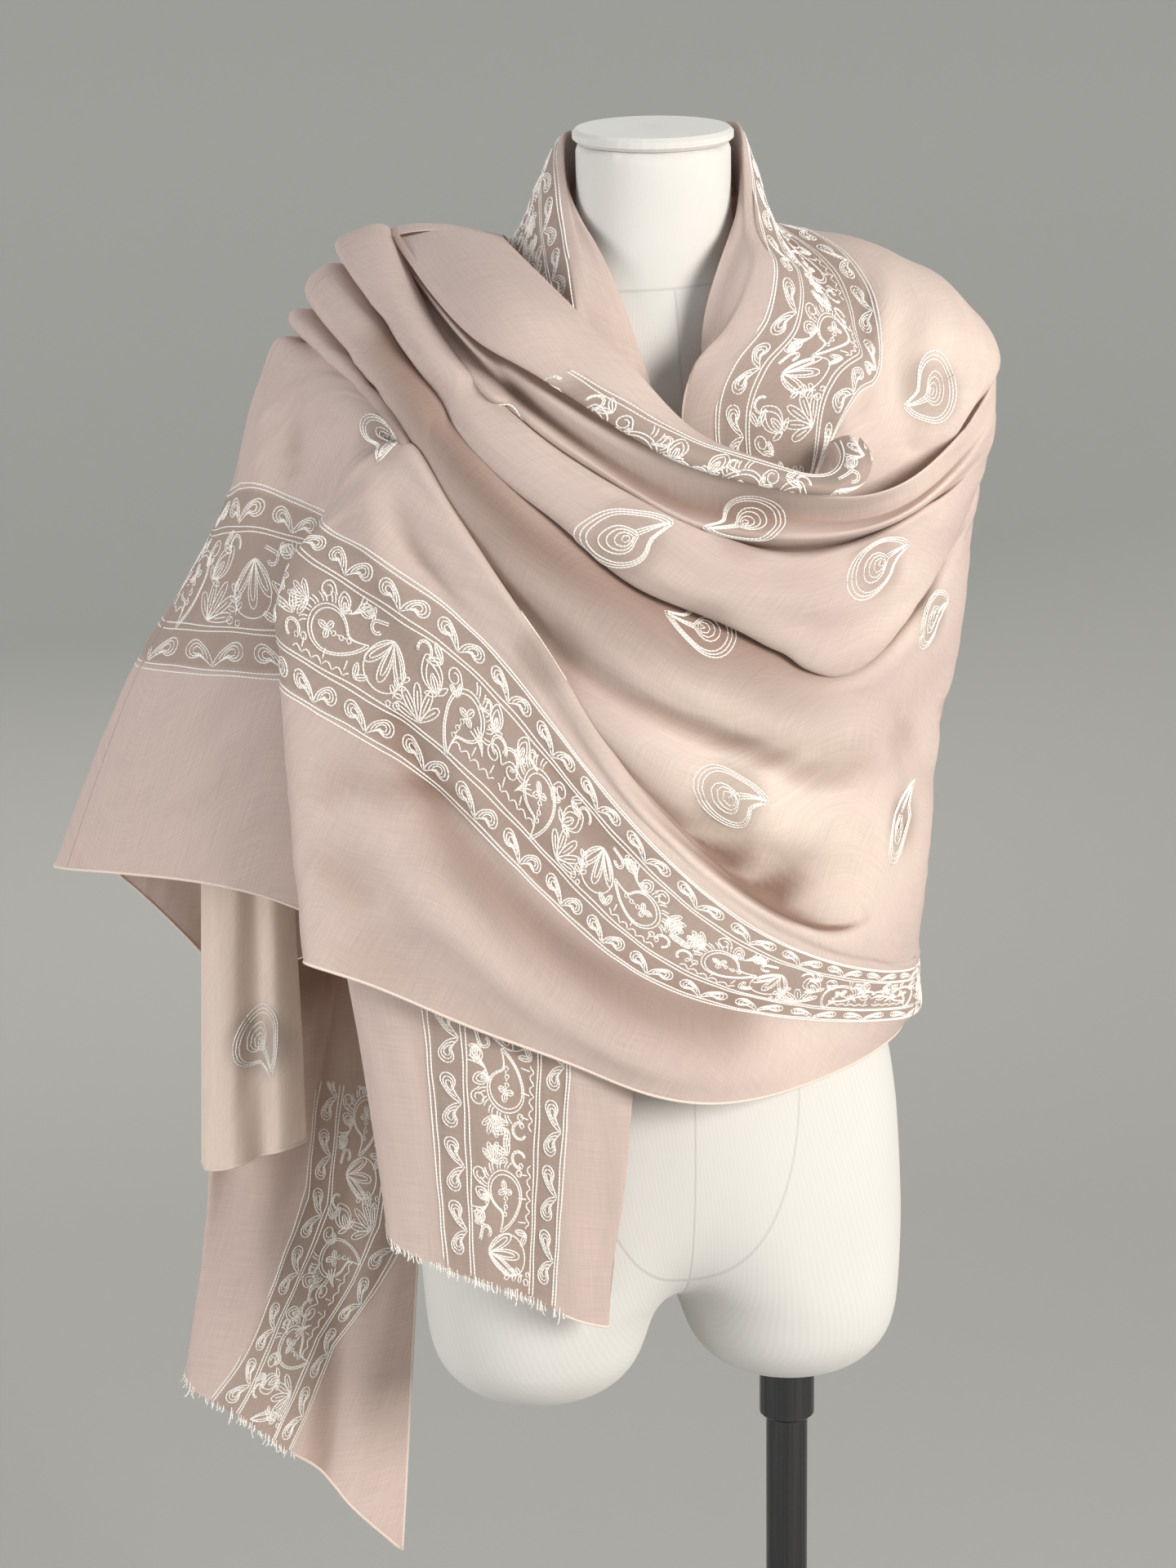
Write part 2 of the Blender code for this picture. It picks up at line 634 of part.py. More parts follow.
def build_shawl(cloth):
    lines = ring_lines()
    crest = PER_STATION * THROWN_STATIONS
    side = crest + PER_STATION * len(FOLD_LINES[0][-1])
    ring = across(lines, 2)
    stretch("front_stretch", ring, crest, side, cloth)
    coarse = across(lines, 1)
    stretch("back_stretch", coarse, side, coarse.shape[1] - 1, cloth)

    edge_lines = roll_lines()
    roll = across(edge_lines, 2)
    stretch("edge_roll", roll, crest, roll.shape[1] - 1, cloth)
    thrown = across([line[: crest + 2] for line in edge_lines[2:5] + lines], 1)
    stretch("thrown_stretch", thrown, 0, crest, cloth)
    cloth_wall("neck_stretch", across(neck_lines(NECK_SAMPLES), 2), cloth)

    feet = np.array(SIDE_TAIL_FEET, float)
    tail("side_tail", places_under(thrown[:, crest], 5.0, 0.86, 0.74, len(feet)), feet, cloth)
    feet = np.array(CORNER_TAIL_FEET, float)
    tail("corner_tail", places_under(thrown[:, 0], 1.1, 1.0, 0.5, len(feet)), feet, cloth)
    folds = np.array(FRONT_TAIL_FOLDS, float)
    tail("front_tail", folds[:, :3], folds[:, 3:], cloth)


def main():
    clear_scene()
    canvas = material("white_canvas", (0.80, 0.78, 0.74), 0.85)
    steel = material("dark_chrome", (0.10, 0.10, 0.11), 0.22, 1.0)
    cloth = material("dusty_pink_cloth", (0.62, 0.49, 0.43), 0.75)
    build_stand(steel)
    build_form(canvas)
    build_shawl(cloth)


main()
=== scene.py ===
# %% [markdown]
# # An embroidered shawl on a dress form
# One rectangle of thin cloth, about one metre by two, is wound round a dress form and thrown over
# its left shoulder. The CAD model already holds the true run of every fold, so this script takes the
# same fold lines, works them out much finer, and adds what the eye looks for: the weave, the raised
# thread of the borders and paisleys, rolled hems, frayed ends and the canvas of the form.
#
# Tables and lengths are in millimetres; a mesh is scaled to metres when it is made.

# %% Load the frame
import math

import bpy
import numpy as np
from mathutils import Euler, Matrix, Vector


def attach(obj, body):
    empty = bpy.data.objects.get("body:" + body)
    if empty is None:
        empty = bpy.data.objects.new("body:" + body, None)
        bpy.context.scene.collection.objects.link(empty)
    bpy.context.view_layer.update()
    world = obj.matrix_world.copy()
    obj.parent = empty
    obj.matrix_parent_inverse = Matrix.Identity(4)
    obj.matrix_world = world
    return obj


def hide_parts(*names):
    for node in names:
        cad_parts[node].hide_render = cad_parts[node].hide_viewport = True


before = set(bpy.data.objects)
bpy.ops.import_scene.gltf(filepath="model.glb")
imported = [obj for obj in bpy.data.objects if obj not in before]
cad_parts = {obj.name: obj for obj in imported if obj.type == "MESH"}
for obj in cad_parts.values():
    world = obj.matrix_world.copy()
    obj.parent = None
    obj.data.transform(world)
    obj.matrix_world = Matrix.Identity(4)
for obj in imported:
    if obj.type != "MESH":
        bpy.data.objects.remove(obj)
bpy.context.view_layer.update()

MM = 0.001
BODY = "root"
print("CAD nodes:", ", ".join(sorted(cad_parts)))


def link_object(name, data):
    """A new object of the scene that holds a mesh, a lamp or a camera."""
    made = bpy.data.objects.new(name, data)
    bpy.context.scene.collection.objects.link(made)
    return made


def ramp(value, width):
    """A share that climbs from 0 to 1 as the value goes from 0 to the width."""
    return np.clip(value / width, 0.0, 1.0)

# %% [markdown]
# ## Camera
# A phone held level with the form's head, looking a little down. It leans by less than a degree.
# The long side of the picture takes the whole 36 mm of the sensor.

# %% Camera
CAMERA_PLACE = (-0.05, -1.851, 1.539)
CAMERA_DIP = math.radians(13.0)
CAMERA_LEAN = math.radians(-0.9)
camera_lens = bpy.data.cameras.new("camera")
camera_lens.sensor_fit = "AUTO"
camera_lens.sensor_width = 36.0
camera_lens.lens = 62.0
camera = link_object("camera", camera_lens)
camera.location = CAMERA_PLACE
looking = Euler((math.pi / 2.0 - CAMERA_DIP, 0.0, 0.0)).to_matrix()
camera.rotation_euler = (looking @ Matrix.Rotation(CAMERA_LEAN, 3, "Z")).to_euler()
bpy.context.scene.camera = camera
print("camera", round(math.degrees(CAMERA_DIP)), "degrees down,", camera_lens.lens, "mm")

# %% [markdown]
# ## Studio
# A window at the viewer's right gives one broad, soft key. Weaker panels fill the left, the folds from
# low down, and the back. The pale floor is a wide dish: flat under the stand, it curves up gently into
# an even backdrop on every side, so no horizon shows from any angle. The world above it is the soft
# light of the room.

# %% Studio
studio_world = bpy.data.worlds.new("studio")
studio_world.use_nodes = True
room_light = studio_world.node_tree.nodes["Background"]
room_light.inputs["Color"].default_value = (0.93, 0.97, 1.0, 1.0)
room_light.inputs["Strength"].default_value = 0.53
bpy.context.scene.world = studio_world
bpy.context.scene.view_settings.view_transform = "Standard"


def soft_panel(name, place, aim, size, watts, colour):
    """A square area light at a place in metres, turned to face the point that it aims at."""
    light = bpy.data.lights.new(name, "AREA")
    light.size, light.energy, light.color = size, watts, colour
    lamp = link_object(name, light)
    lamp.location = place
    lamp.rotation_euler = (Vector(aim) - Vector(place)).to_track_quat("-Z", "Y").to_euler()
    lamp.visible_camera = False


CHEST = (0.0, 0.0, 1.2)
soft_panel("key_window", (2.6, -2.2, 2.1), CHEST, 1.5, 150.0, (1.0, 0.965, 0.92))
soft_panel("left_fill", (-3.1, -1.4, 2.0), CHEST, 2.2, 48.0, (0.97, 0.98, 1.0))
soft_panel("low_fill", (-3.0, -2.0, 0.95), (-0.3, 0.0, 0.85), 1.6, 34.0, (1.0, 0.98, 0.96))
soft_panel("back_fill", (-0.6, 3.0, 2.6), CHEST, 2.4, 34.0, (1.0, 0.98, 0.95))

# Radius of the dish's flat middle, radius of the quarter circle round it, and height, in metres.
DISH_FLAT, DISH_RISE, DISH_HEIGHT = 1.6, 5.6, 9.0
DISH_AROUND = 96


def ring_faces(rings, around):
    """Quads between closed rings of points, and the first and the last ring as one face each."""
    spot = np.arange(rings * around).reshape(rings, around)
    nearby = np.roll(spot, -1, axis=1)
    quads = np.stack([spot[:-1], nearby[:-1], nearby[1:], spot[1:]], axis=-1)
    return quads.reshape(-1, 4), spot[0].tolist(), spot[-1].tolist()


def dish_grid():
    """A profile turned about the middle: flat, then a quarter circle, then straight up."""
    bend = np.linspace(0.0, math.pi / 2.0, 16)
    rise = DISH_FLAT + DISH_RISE * np.sin(bend)
    radius = np.concatenate([[0.01, DISH_FLAT / 2.0], rise, rise[-1:]])
    height = np.concatenate([[0.0, 0.0], DISH_RISE * (1.0 - np.cos(bend)), [DISH_HEIGHT]])
    angle = np.linspace(0.0, 2.0 * math.pi, DISH_AROUND, endpoint=False)
    x, y = radius[:, None] * np.cos(angle), radius[:, None] * np.sin(angle)
    return np.stack([x, y, np.broadcast_to(height[:, None], x.shape)], axis=-1)


dish = dish_grid()
dish_quads, dish_middle, _ = ring_faces(*dish.shape[:2])
floor_mesh = bpy.data.meshes.new("floor")
floor_mesh.from_pydata(dish.reshape(-1, 3).tolist(), [], dish_quads[:, ::-1].tolist() + [dish_middle])
floor_mesh.shade_smooth()
link_object("floor", floor_mesh)
print("studio floor", 2 * (DISH_FLAT + DISH_RISE), "m across")

# %% [markdown]
# ## Helpers: splines and sheets
# A fold line is a natural cubic spline through a few stations. Rows between two fold lines come from
# a centripetal Catmull-Rom spline, whose knots are the square roots of the gaps, so that a narrow
# fold beside a wide panel doesn't ring. A sheet is the grid of points that both give.

# %% Splines
def spline(points, count):
    """Natural cubic spline: the bends M solve M[i-1] + 4 M[i] + M[i+1] = 6 times the second
    difference, and each gap blends its two ends with s = 1 - t as s P + t Q + ((s^3-s) M + ...) / 6."""
    points = np.asarray(points, float)
    last = len(points) - 1
    i = np.arange(1, last)
    system, right = np.eye(last + 1), np.zeros_like(points)
    system[i, i - 1], system[i, i], system[i, i + 1] = 1.0, 4.0, 1.0
    right[i] = 6.0 * (points[i - 1] - 2.0 * points[i] + points[i + 1])
    bend = np.linalg.solve(system, right)
    at = np.linspace(0.0, last, count)
    i = np.minimum(at.astype(int), last - 1)
    t = (at - i)[:, None]
    s = 1.0 - t
    curve = ((s**3 - s) * bend[i] + (t**3 - t) * bend[i + 1]) / 6.0
    return s * points[i] + t * points[i + 1] + curve


def across(lines, steps):
    """Rows through lines of points, each gap in equal steps: the pyramid of blends of a Catmull-Rom
    spline, with each knot the square root of the gap past the one before."""
    lines = np.asarray(lines, float)
    ghosts = np.concatenate([2 * lines[:1] - lines[1:2], lines, 2 * lines[-1:] - lines[-2:-1]])
    rows = []
    for k in range(len(lines) - 1):
        p0, p1, p2, p3 = four = ghosts[k : k + 4]
        gaps = np.sqrt(np.linalg.norm(np.diff(four, axis=0), axis=2) + 1e-6)
        k1, k2, k3 = np.cumsum(gaps, axis=0)[..., None]
        for step in range(steps):
            t = k1 + (k2 - k1) * step / steps
            a1 = (k1 - t) / k1 * p0 + t / k1 * p1
            a2 = (k2 - t) / (k2 - k1) * p1 + (t - k1) / (k2 - k1) * p2
            a3 = (k3 - t) / (k3 - k2) * p2 + (t - k2) / (k3 - k2) * p3
            b1 = (k2 - t) / k2 * a1 + t / k2 * a2
            b2 = (k3 - t) / (k3 - k1) * a2 + (t - k1) / (k3 - k1) * a3
            rows.append((k2 - t) / (k2 - k1) * b1 + (t - k1) / (k2 - k1) * b2)
    rows.append(lines[-1])
    return np.array(rows)


def unit(vectors):
    """Each vector divided by its length."""
    return vectors / (np.linalg.norm(vectors, axis=-1, keepdims=True) + 1e-9)


def sheet_normals(grid):
    """Cross product of the steps down the rows and along the columns."""
    return unit(np.cross(np.gradient(grid, axis=0), np.gradient(grid, axis=1)))


def sample(field, row, col):
    """Bilinear value of a grid of numbers or vectors at fractional rows and columns."""
    rows, cols = field.shape[:2]
    row = np.clip(row, 0.0, rows - 1.001)
    col = np.clip(col, 0.0, cols - 1.001)
    i, j = row.astype(int), col.astype(int)
    r, c = row - i, col - j
    if field.ndim == 3:
        r, c = r[..., None], c[..., None]
    near = field[i, j] * (1.0 - c) + field[i, j + 1] * c
    far = field[i + 1, j] * (1.0 - c) + field[i + 1, j + 1] * c
    return near * (1.0 - r) + far * r


def run_length(grid, axis):
    """Length in mm from the first row or column to each point, along one direction of a grid."""
    steps = np.linalg.norm(np.diff(grid, axis=axis), axis=-1)
    zero = np.zeros_like(np.take(steps, [0], axis=axis))
    return np.cumsum(np.concatenate([zero, steps], axis=axis), axis=axis)


# %% Meshes
def add_mesh(name, points, faces, finish, uv=None, masks=None):
    """One object from points in mm and lists of faces. uv is in mm, one pair for each point, and each
    mask is a number from 0 to 1 for each point, which a material reads by its name."""
    mesh = bpy.data.meshes.new(name)
    mesh.from_pydata((np.asarray(points) * MM).tolist(), [], faces)
    mesh.shade_smooth()
    if uv is not None:
        corner = np.empty(len(mesh.loops), np.int32)
        mesh.loops.foreach_get("vertex_index", corner)
        layer = mesh.uv_layers.new(name="cloth_mm")
        layer.data.foreach_set("uv", np.asarray(uv, np.float32)[corner].ravel())
    for mask, values in (masks or {}).items():
        made = mesh.attributes.new(mask, "FLOAT", "POINT")
        made.data.foreach_set("value", np.asarray(values, np.float32).ravel())
    mesh.materials.append(finish)
    piece = link_object(name, mesh)
    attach(piece, BODY)
    print(name, len(faces), "faces")
    return piece


def closed_wall(name, grid, normals, thickness, finish, masks=None):
    """A closed wall, half its thickness to each side of a grid: two faces of quads, and a rim whose
    edges are sharp, so that it doesn't darken the cloth beside it."""
    rows, cols = grid.shape[:2]
    points = np.concatenate(
        [(grid + side * normals * thickness / 2.0).reshape(-1, 3) for side in (1.0, -1.0)]
    )
    index = np.arange(rows * cols).reshape(rows, cols)
    corners = (index[:-1, :-1], index[1:, :-1], index[1:, 1:], index[:-1, 1:])
    outer = np.stack([corner.ravel() for corner in corners], axis=1)
    inner = outer[:, ::-1] + rows * cols
    rim = np.concatenate([index[:, 0], index[-1, 1:], index[-2::-1, -1], index[0, -2:0:-1]])
    following = np.roll(rim, -1)
    edge = np.stack([following, rim, rim + rows * cols, following + rows * cols], axis=1)
    faces = np.concatenate([outer, inner, edge]).tolist()
    uv = np.stack([run_length(grid, 1).ravel(), run_length(grid, 0).ravel()], axis=1)
    doubled = {mask: np.tile(values.ravel(), 2) for mask, values in (masks or {}).items()}
    piece = add_mesh(name, points, faces, finish, np.tile(uv, (2, 1)), doubled)
    ends = np.empty(len(piece.data.edges) * 2, np.int32)
    piece.data.edges.foreach_get("vertices", ends)
    wall, spot = np.divmod(ends.reshape(-1, 2), rows * cols)
    on_rim = np.isin(spot, rim).all(axis=1) & (wall[:, 0] == wall[:, 1])
    piece.data.edges.foreach_set("use_edge_sharp", on_rim)
    return piece


def along_paths(name, points, normals, path, width, profile, finish):
    """Runs a profile along many paths at once. Each path point has its sideways direction, tangent x
    normal, and each corner of the profile is the point + side x its first number + normal x its
    second, both times the width. uv is (length along the path, share round the profile) in mm."""
    same = path[1:] == path[:-1]
    step = np.diff(points, axis=0) * same[:, None]
    zero = np.zeros((1, 3))
    tangent = unit(np.concatenate([zero, step]) + np.concatenate([step, zero]))
    side = unit(np.cross(tangent, normals))
    up = np.cross(side, tangent)
    profile = np.asarray(profile, float)
    width = np.broadcast_to(np.asarray(width, float), (len(points),))[:, None, None]
    corner = side[:, None] * profile[None, :, :1] + up[:, None] * profile[None, :, 1:]
    verts = (points[:, None] + corner * width).reshape(-1, 3)
    around = len(profile)
    spin = np.arange(around)
    k, n = spin[:, None], (spin[:, None] + 1) % around
    start = np.flatnonzero(same) * around
    sides = np.stack([start + k, start + around + k, start + around + n, start + n], axis=-1)
    first = np.flatnonzero(np.concatenate([[True], ~same])) * around
    final = np.flatnonzero(np.concatenate([~same, [True]])) * around
    caps = np.concatenate([first[:, None] + spin, final[:, None] + spin[::-1]])
    length = np.concatenate([[0.0], np.cumsum(np.linalg.norm(step, axis=1))])
    uv = np.stack([np.repeat(length, around), np.tile(spin / around, len(points))], axis=1)
    return add_mesh(name, verts, sides.reshape(-1, 4).tolist() + caps.tolist(), finish, uv)


# %% [markdown]
# ## Finishes
# Each effect that several materials share is a node group with named inputs and outputs. The groups
# give only values and colours; each material keeps its own shader. Cloth reads its own UV map, which
# holds millimetres along and across the sheet, so the weave turns with every fold. The form, the cap
# and the steel read Object coordinates.

# %% Node helpers
def give(tree, node, inputs):
    """Links each named or numbered input of a node to a socket, or sets it to a value."""
    for socket, value in inputs.items():
        if isinstance(value, bpy.types.NodeSocket):
            tree.links.new(value, node.inputs[socket])
        else:
            node.inputs[socket].default_value = value
    return node


def add_node(tree, kind, inputs=None, **settings):
    """A shader node with its settings and its inputs."""
    made = tree.nodes.new("ShaderNode" + kind)
    for setting, value in settings.items():
        setattr(made, setting, value)
    return give(tree, made, inputs or {})


def maths(tree, operation, first, second=0.0, third=0.0):
    """One Math node, and its result."""
    return add_node(tree, "Math", {0: first, 1: second, 2: third}, operation=operation).outputs[0]


def blended(tree, share, first, second, blend_type="MIX"):
    """One colour Mix node: first where share is 0, second where it is 1."""
    inputs = {0: share, 6: first, 7: second}
    return add_node(tree, "Mix", inputs, data_type="RGBA", blend_type=blend_type).outputs[2]


def between_limits(tree, value, low, high, at_low=0.0, at_high=1.0):
    """A value mapped straight from one pair of limits to another, and held there outside them."""
    inputs = {"Value": value, "From Min": low, "From Max": high, "To Min": at_low, "To Max": at_high}
    return add_node(tree, "MapRange", inputs).outputs[0]


def shaded(tree, colour, factor):
    """A colour times a number."""
    grey = add_node(tree, "CombineColor", {n: factor for n in range(3)})
    return blended(tree, 1.0, colour, grey.outputs[0], "MULTIPLY")


def place_of(tree):
    """Object coordinates, in metres."""
    return add_node(tree, "TexCoord").outputs["Object"]


def new_group(name, inputs, outputs):
    """An empty shader node group with named sockets, its input node and its output node."""
    tree = bpy.data.node_groups.new(name, "ShaderNodeTree")
    for title, kind, value in inputs:
        socket = tree.interface.new_socket(title, in_out="INPUT", socket_type="NodeSocket" + kind)
        if value is not None:
            socket.default_value = value
    for title, kind in outputs:
        tree.interface.new_socket(title, in_out="OUTPUT", socket_type="NodeSocket" + kind)
    return tree, tree.nodes.new("NodeGroupInput"), tree.nodes.new("NodeGroupOutput")


def stretched_noise(tree, place, stretch, detail=2.0):
    """Noise read from a place whose axes are scaled first: a small number draws it out that way."""
    scaled = add_node(tree, "VectorMath", {0: place, 1: stretch}, operation="MULTIPLY")
    noise = {"Vector": scaled.outputs[0], "Scale": 1.0, "Detail": detail}
    return add_node(tree, "TexNoise", noise).outputs[0]


def add_material(name, colour, roughness, **constants):
    """A material with its Principled shader and that shader's constants, by their names."""
    made = bpy.data.materials.new(name)
    made.use_nodes = True
    shader = made.node_tree.nodes["Principled BSDF"]
    give(made.node_tree, shader, {"Base Color": (*colour, 1.0), "Roughness": roughness})
    give(made.node_tree, shader, {title.replace("_", " "): value for title, value in constants.items()})
    return made, made.node_tree, shader


def dress(tree, shader, colour, height=None, strength=0.3, distance=0.0006):
    """Gives a shader its colour, and its normal from a height."""
    give(tree, shader, {"Base Color": colour})
    if height is not None:
        bump = {"Height": height, "Strength": strength, "Distance": distance}
        give(tree, shader, {"Normal": add_node(tree, "Bump", bump).outputs[0]})


# %% [markdown]
# ### Voile
# Fine plain-weave cloth. Its yarns are far finer than a millimetre, so what shows is their slubs:
# faint streaks along and across the cloth. It is thin enough for light to come through, so a share of
# a Translucent shader goes with the Principled one. Three masks change its colour: `warm` is painted
# light, where light comes back through from the pale form; `deep` is painted shade, down inside a fold
# or behind other cloth, brown because light there has passed through cloth again and again; and the
# worked mask, between embroidery threads, stands both for the needle drawing the cloth closer and
# greyer and for painted shade of the threads.

# %% Voile
def build_weave_group():
    """Slubs = mean of two noises, each drawn out along one yarn; Height adds the weave's own grain."""
    tree, given, result = new_group(
        "woven_slubs",
        (("Cloth", "Vector", None), ("Streak", "Float", 0.03), ("Fineness", "Float", 0.9)),
        (("Slubs", "Float"), ("Height", "Float")),
    )
    cloth, streak, fineness = given.outputs[:3]
    warp, weft = (
        stretched_noise(tree, cloth, add_node(tree, "CombineXYZ", {0: x, 1: y, 2: 1.0}).outputs[0])
        for x, y in ((streak, fineness), (fineness, streak))
    )
    slubs = maths(tree, "MULTIPLY", maths(tree, "ADD", warp, weft), 0.5)
    grain = stretched_noise(tree, cloth, (1.4, 1.4, 1.0), 1.0)
    raised = maths(tree, "MULTIPLY_ADD", grain, 0.4, slubs)
    give(tree, result, {"Slubs": slubs, "Height": raised})
    return tree


weave_group = build_weave_group()

# PINK is the cloth's own colour. PEACH is painted light, BROWN is painted shade, and DUSK is the
# embroidered cloth, drawn greyer and partly painted shade.
PINK = (0.78, 0.655, 0.605, 1.0)
PEACH = (0.96, 0.85, 0.765, 1.0)
BROWN = (0.42, 0.275, 0.215, 1.0)
DUSK = (0.47, 0.36, 0.30, 1.0)
WORKED_SHADE_SHARE = 0.66  # how far the cloth goes to DUSK under embroidery
THROUGH_SHARE = 0.42  # share of the light that the Translucent shader handles


def build_voile():
    """The cloth's colour goes from pink to peach for painted light, to dusk under embroidery, which is
    partly painted shade, and to brown for painted shade, by the three masks; then the slubs vary it, and
    it serves both the Principled and the Translucent shader."""
    made, tree, shader = add_material(
        "dusty_pink_voile", PINK[:3], 0.78,
        Sheen_Weight=0.12, Sheen_Roughness=0.45, Specular_IOR_Level=0.25,
    )
    cloth = add_node(tree, "UVMap", uv_map="cloth_mm").outputs[0]
    weave = add_node(tree, "Group", node_tree=weave_group)
    give(tree, weave, {"Cloth": cloth})
    warm, deep, worked_shade = (
        add_node(tree, "Attribute", attribute_name=mask).outputs["Fac"]
        for mask in ("warm", "deep", "worked_shade")
    )
    # Painted light towards peach; under embroidery towards dusk, partly painted shade; painted shade in
    # the folds towards brown.
    colour = blended(tree, warm, PINK, PEACH)
    colour = blended(tree, maths(tree, "MULTIPLY", worked_shade, WORKED_SHADE_SHARE), colour, DUSK)
    colour = blended(tree, deep, colour, BROWN)
    colour = shaded(tree, colour, between_limits(tree, weave.outputs["Slubs"], 0.3, 0.7, 0.90, 1.07))
    dress(tree, shader, colour, weave.outputs["Height"], 0.35)
    through = add_node(tree, "BsdfTranslucent", {"Color": colour})
    both = {0: THROUGH_SHARE, 1: shader.outputs[0], 2: through.outputs[0]}
    give(tree, tree.nodes["Material Output"], {"Surface": add_node(tree, "MixShader", both).outputs[0]})
    return made


voile = build_voile()

# %% [markdown]
# ### Thread
# The embroidery is chain stitch in a cream thread with some lustre. Its own UV map holds the length
# along the thread, so each stitch swells and pinches where it should.

# %% Thread and hem
STITCH, HEM_STITCH = 2.6, 1.5  # mm


def build_stitch_group():
    """Swell = |sin(pi u / stitch)| ** 0.5, from the length u along a thread."""
    tree, given, result = new_group(
        "chain_stitch", (("Length", "Float", 0.0), ("Stitch", "Float", STITCH)), (("Swell", "Float"),)
    )
    turns = maths(tree, "DIVIDE", given.outputs["Length"], given.outputs["Stitch"])
    wave = maths(tree, "ABSOLUTE", maths(tree, "SINE", maths(tree, "MULTIPLY", turns, math.pi)))
    give(tree, result, {"Swell": maths(tree, "POWER", wave, 0.5)})
    return tree


stitch_group = build_stitch_group()


def build_thread(name, colour, dark, stitch, roughness):
    """A thread that is its full colour where a stitch swells, and darker between the stitches: painted
    shade where it pinches.
    """
    made, tree, shader = add_material(name, colour, roughness, Sheen_Weight=0.35, Sheen_Roughness=0.4)
    place = add_node(tree, "UVMap", uv_map="cloth_mm").outputs[0]
    length = add_node(tree, "SeparateXYZ", {0: place}).outputs[0]
    stitches = add_node(tree, "Group", node_tree=stitch_group)
    swell = give(tree, stitches, {"Length": length, "Stitch": stitch}).outputs["Swell"]
    dress(tree, shader, blended(tree, swell, (*dark, 1.0), (*colour, 1.0)), swell, 0.6, 0.0005)
    return made


thread = build_thread("cream_thread", (0.97, 0.93, 0.885), (0.74, 0.65, 0.58), STITCH, 0.45)
hem_cord = build_thread("overcast_hem", (0.80, 0.68, 0.60), (0.62, 0.49, 0.42), HEM_STITCH, 0.6)

# %% [markdown]
# ### Canvas, steel and floor
# The form is covered in off-white twill: fine ribs that climb at a slant, with flat seams down its
# middle and round the foot of its neck. The post is dark polished steel, streaked along its length.

# %% Canvas
def build_twill_group():
    """Ribs = sine of (arc round the body + slant x height) over the pitch. The arc is the angle about
    the form's axis times a mean radius. Object coordinates are in metres."""
    tree, given, result = new_group(
        "twill",
        (("Place", "Vector", None), ("Pitch", "Float", 0.0024), ("Slant", "Float", 0.12)),
        (("Ribs", "Float"),),
    )
    x, y, z = add_node(tree, "SeparateXYZ", {0: given.outputs["Place"]}).outputs
    arc = maths(tree, "MULTIPLY", maths(tree, "ARCTAN2", y, x), 0.085)
    climb = maths(tree, "MULTIPLY", z, given.outputs["Slant"])
    turns = maths(tree, "DIVIDE", maths(tree, "ADD", arc, climb), given.outputs["Pitch"])
    ribs = maths(tree, "SINE", maths(tree, "MULTIPLY", turns, 2.0 * math.pi))
    give(tree, result, {"Ribs": maths(tree, "MULTIPLY_ADD", ribs, 0.5, 0.5)})
    return tree


twill_group = build_twill_group()
FORM_TURN = math.radians(12.0)
LEG_SEAM, LEG_TURN, NECK_SEAM = 0.077, 0.91, 1.470  # metres, as the docstring below uses them


def build_seam_group():
    """Seams of the form's cover, as lines on places in metres. x' is how far a place is from the
    form's middle plane, which is turned by the form's turn. The middle seam is x' = 0 below the neck
    seam; the neck seam is the plane z = 1.470 + y / 4; each leg seam runs down at |x'| = 0.077 and
    below z = 0.91 turns in along the ellipse |x'|^2 + (0.54 (z - 0.91))^2 = 0.077^2."""
    tree, given, result = new_group("cover_seams", (("Place", "Vector", None),), (("Seam", "Float"),))
    x, y, z = add_node(tree, "SeparateXYZ", {0: given.outputs["Place"]}).outputs
    turned_x = maths(tree, "MULTIPLY", x, math.cos(FORM_TURN))
    aside = maths(tree, "ABSOLUTE", maths(tree, "MULTIPLY_ADD", y, math.sin(FORM_TURN), turned_x))
    above = maths(tree, "SUBTRACT", maths(tree, "MULTIPLY_ADD", y, -0.25, z), NECK_SEAM)
    below_turn = maths(tree, "MINIMUM", maths(tree, "SUBTRACT", z, LEG_TURN), 0.0)
    drop = maths(tree, "MULTIPLY", below_turn, 0.54)
    squares = maths(tree, "MULTIPLY_ADD", drop, drop, maths(tree, "MULTIPLY", aside, aside))
    leg = maths(tree, "SUBTRACT", maths(tree, "SQRT", squares), LEG_SEAM)
    lines = []
    for distance, limits in (
        (aside, ((above, 0.0),)),
        (maths(tree, "ABSOLUTE", above), ()),
        (maths(tree, "ABSOLUTE", leg), ((y, 0.0), (z, 1.05))),
    ):
        line = between_limits(tree, distance, 0.0003, 0.0012, 1.0, 0.0)
        for value, most in limits:
            line = maths(tree, "MULTIPLY", line, maths(tree, "LESS_THAN", value, most))
        lines.append(line)
    seam = maths(tree, "MAXIMUM", maths(tree, "MAXIMUM", lines[0], lines[1]), lines[2])
    give(tree, result, {"Seam": seam})
    return tree


seam_group = build_seam_group()


def build_canvas():
    """Ribs and seams darken a faintly blotched off-white, and raise or sink it."""
    made, tree, shader = add_material("white_canvas", (0.60, 0.59, 0.565), 0.85, Sheen_Weight=0.15)
    place = place_of(tree)
    ribs, seam = (
        give(tree, add_node(tree, "Group", node_tree=group), {"Place": place}).outputs[0]
        for group in (twill_group, seam_group)
    )
    blotch = stretched_noise(tree, place, (9.0, 9.0, 9.0), 3.0)
    light = blended(tree, blotch, (0.63, 0.615, 0.585, 1.0), (0.67, 0.658, 0.63, 1.0))
    ribbed = maths(tree, "MULTIPLY_ADD", ribs, 0.03, 0.97)
    colour = shaded(tree, light, maths(tree, "MULTIPLY_ADD", seam, -0.14, ribbed))
    dress(tree, shader, colour, maths(tree, "SUBTRACT", maths(tree, "MULTIPLY", ribs, 0.15), seam))
    return made


STEEL = (0.10, 0.10, 0.105)


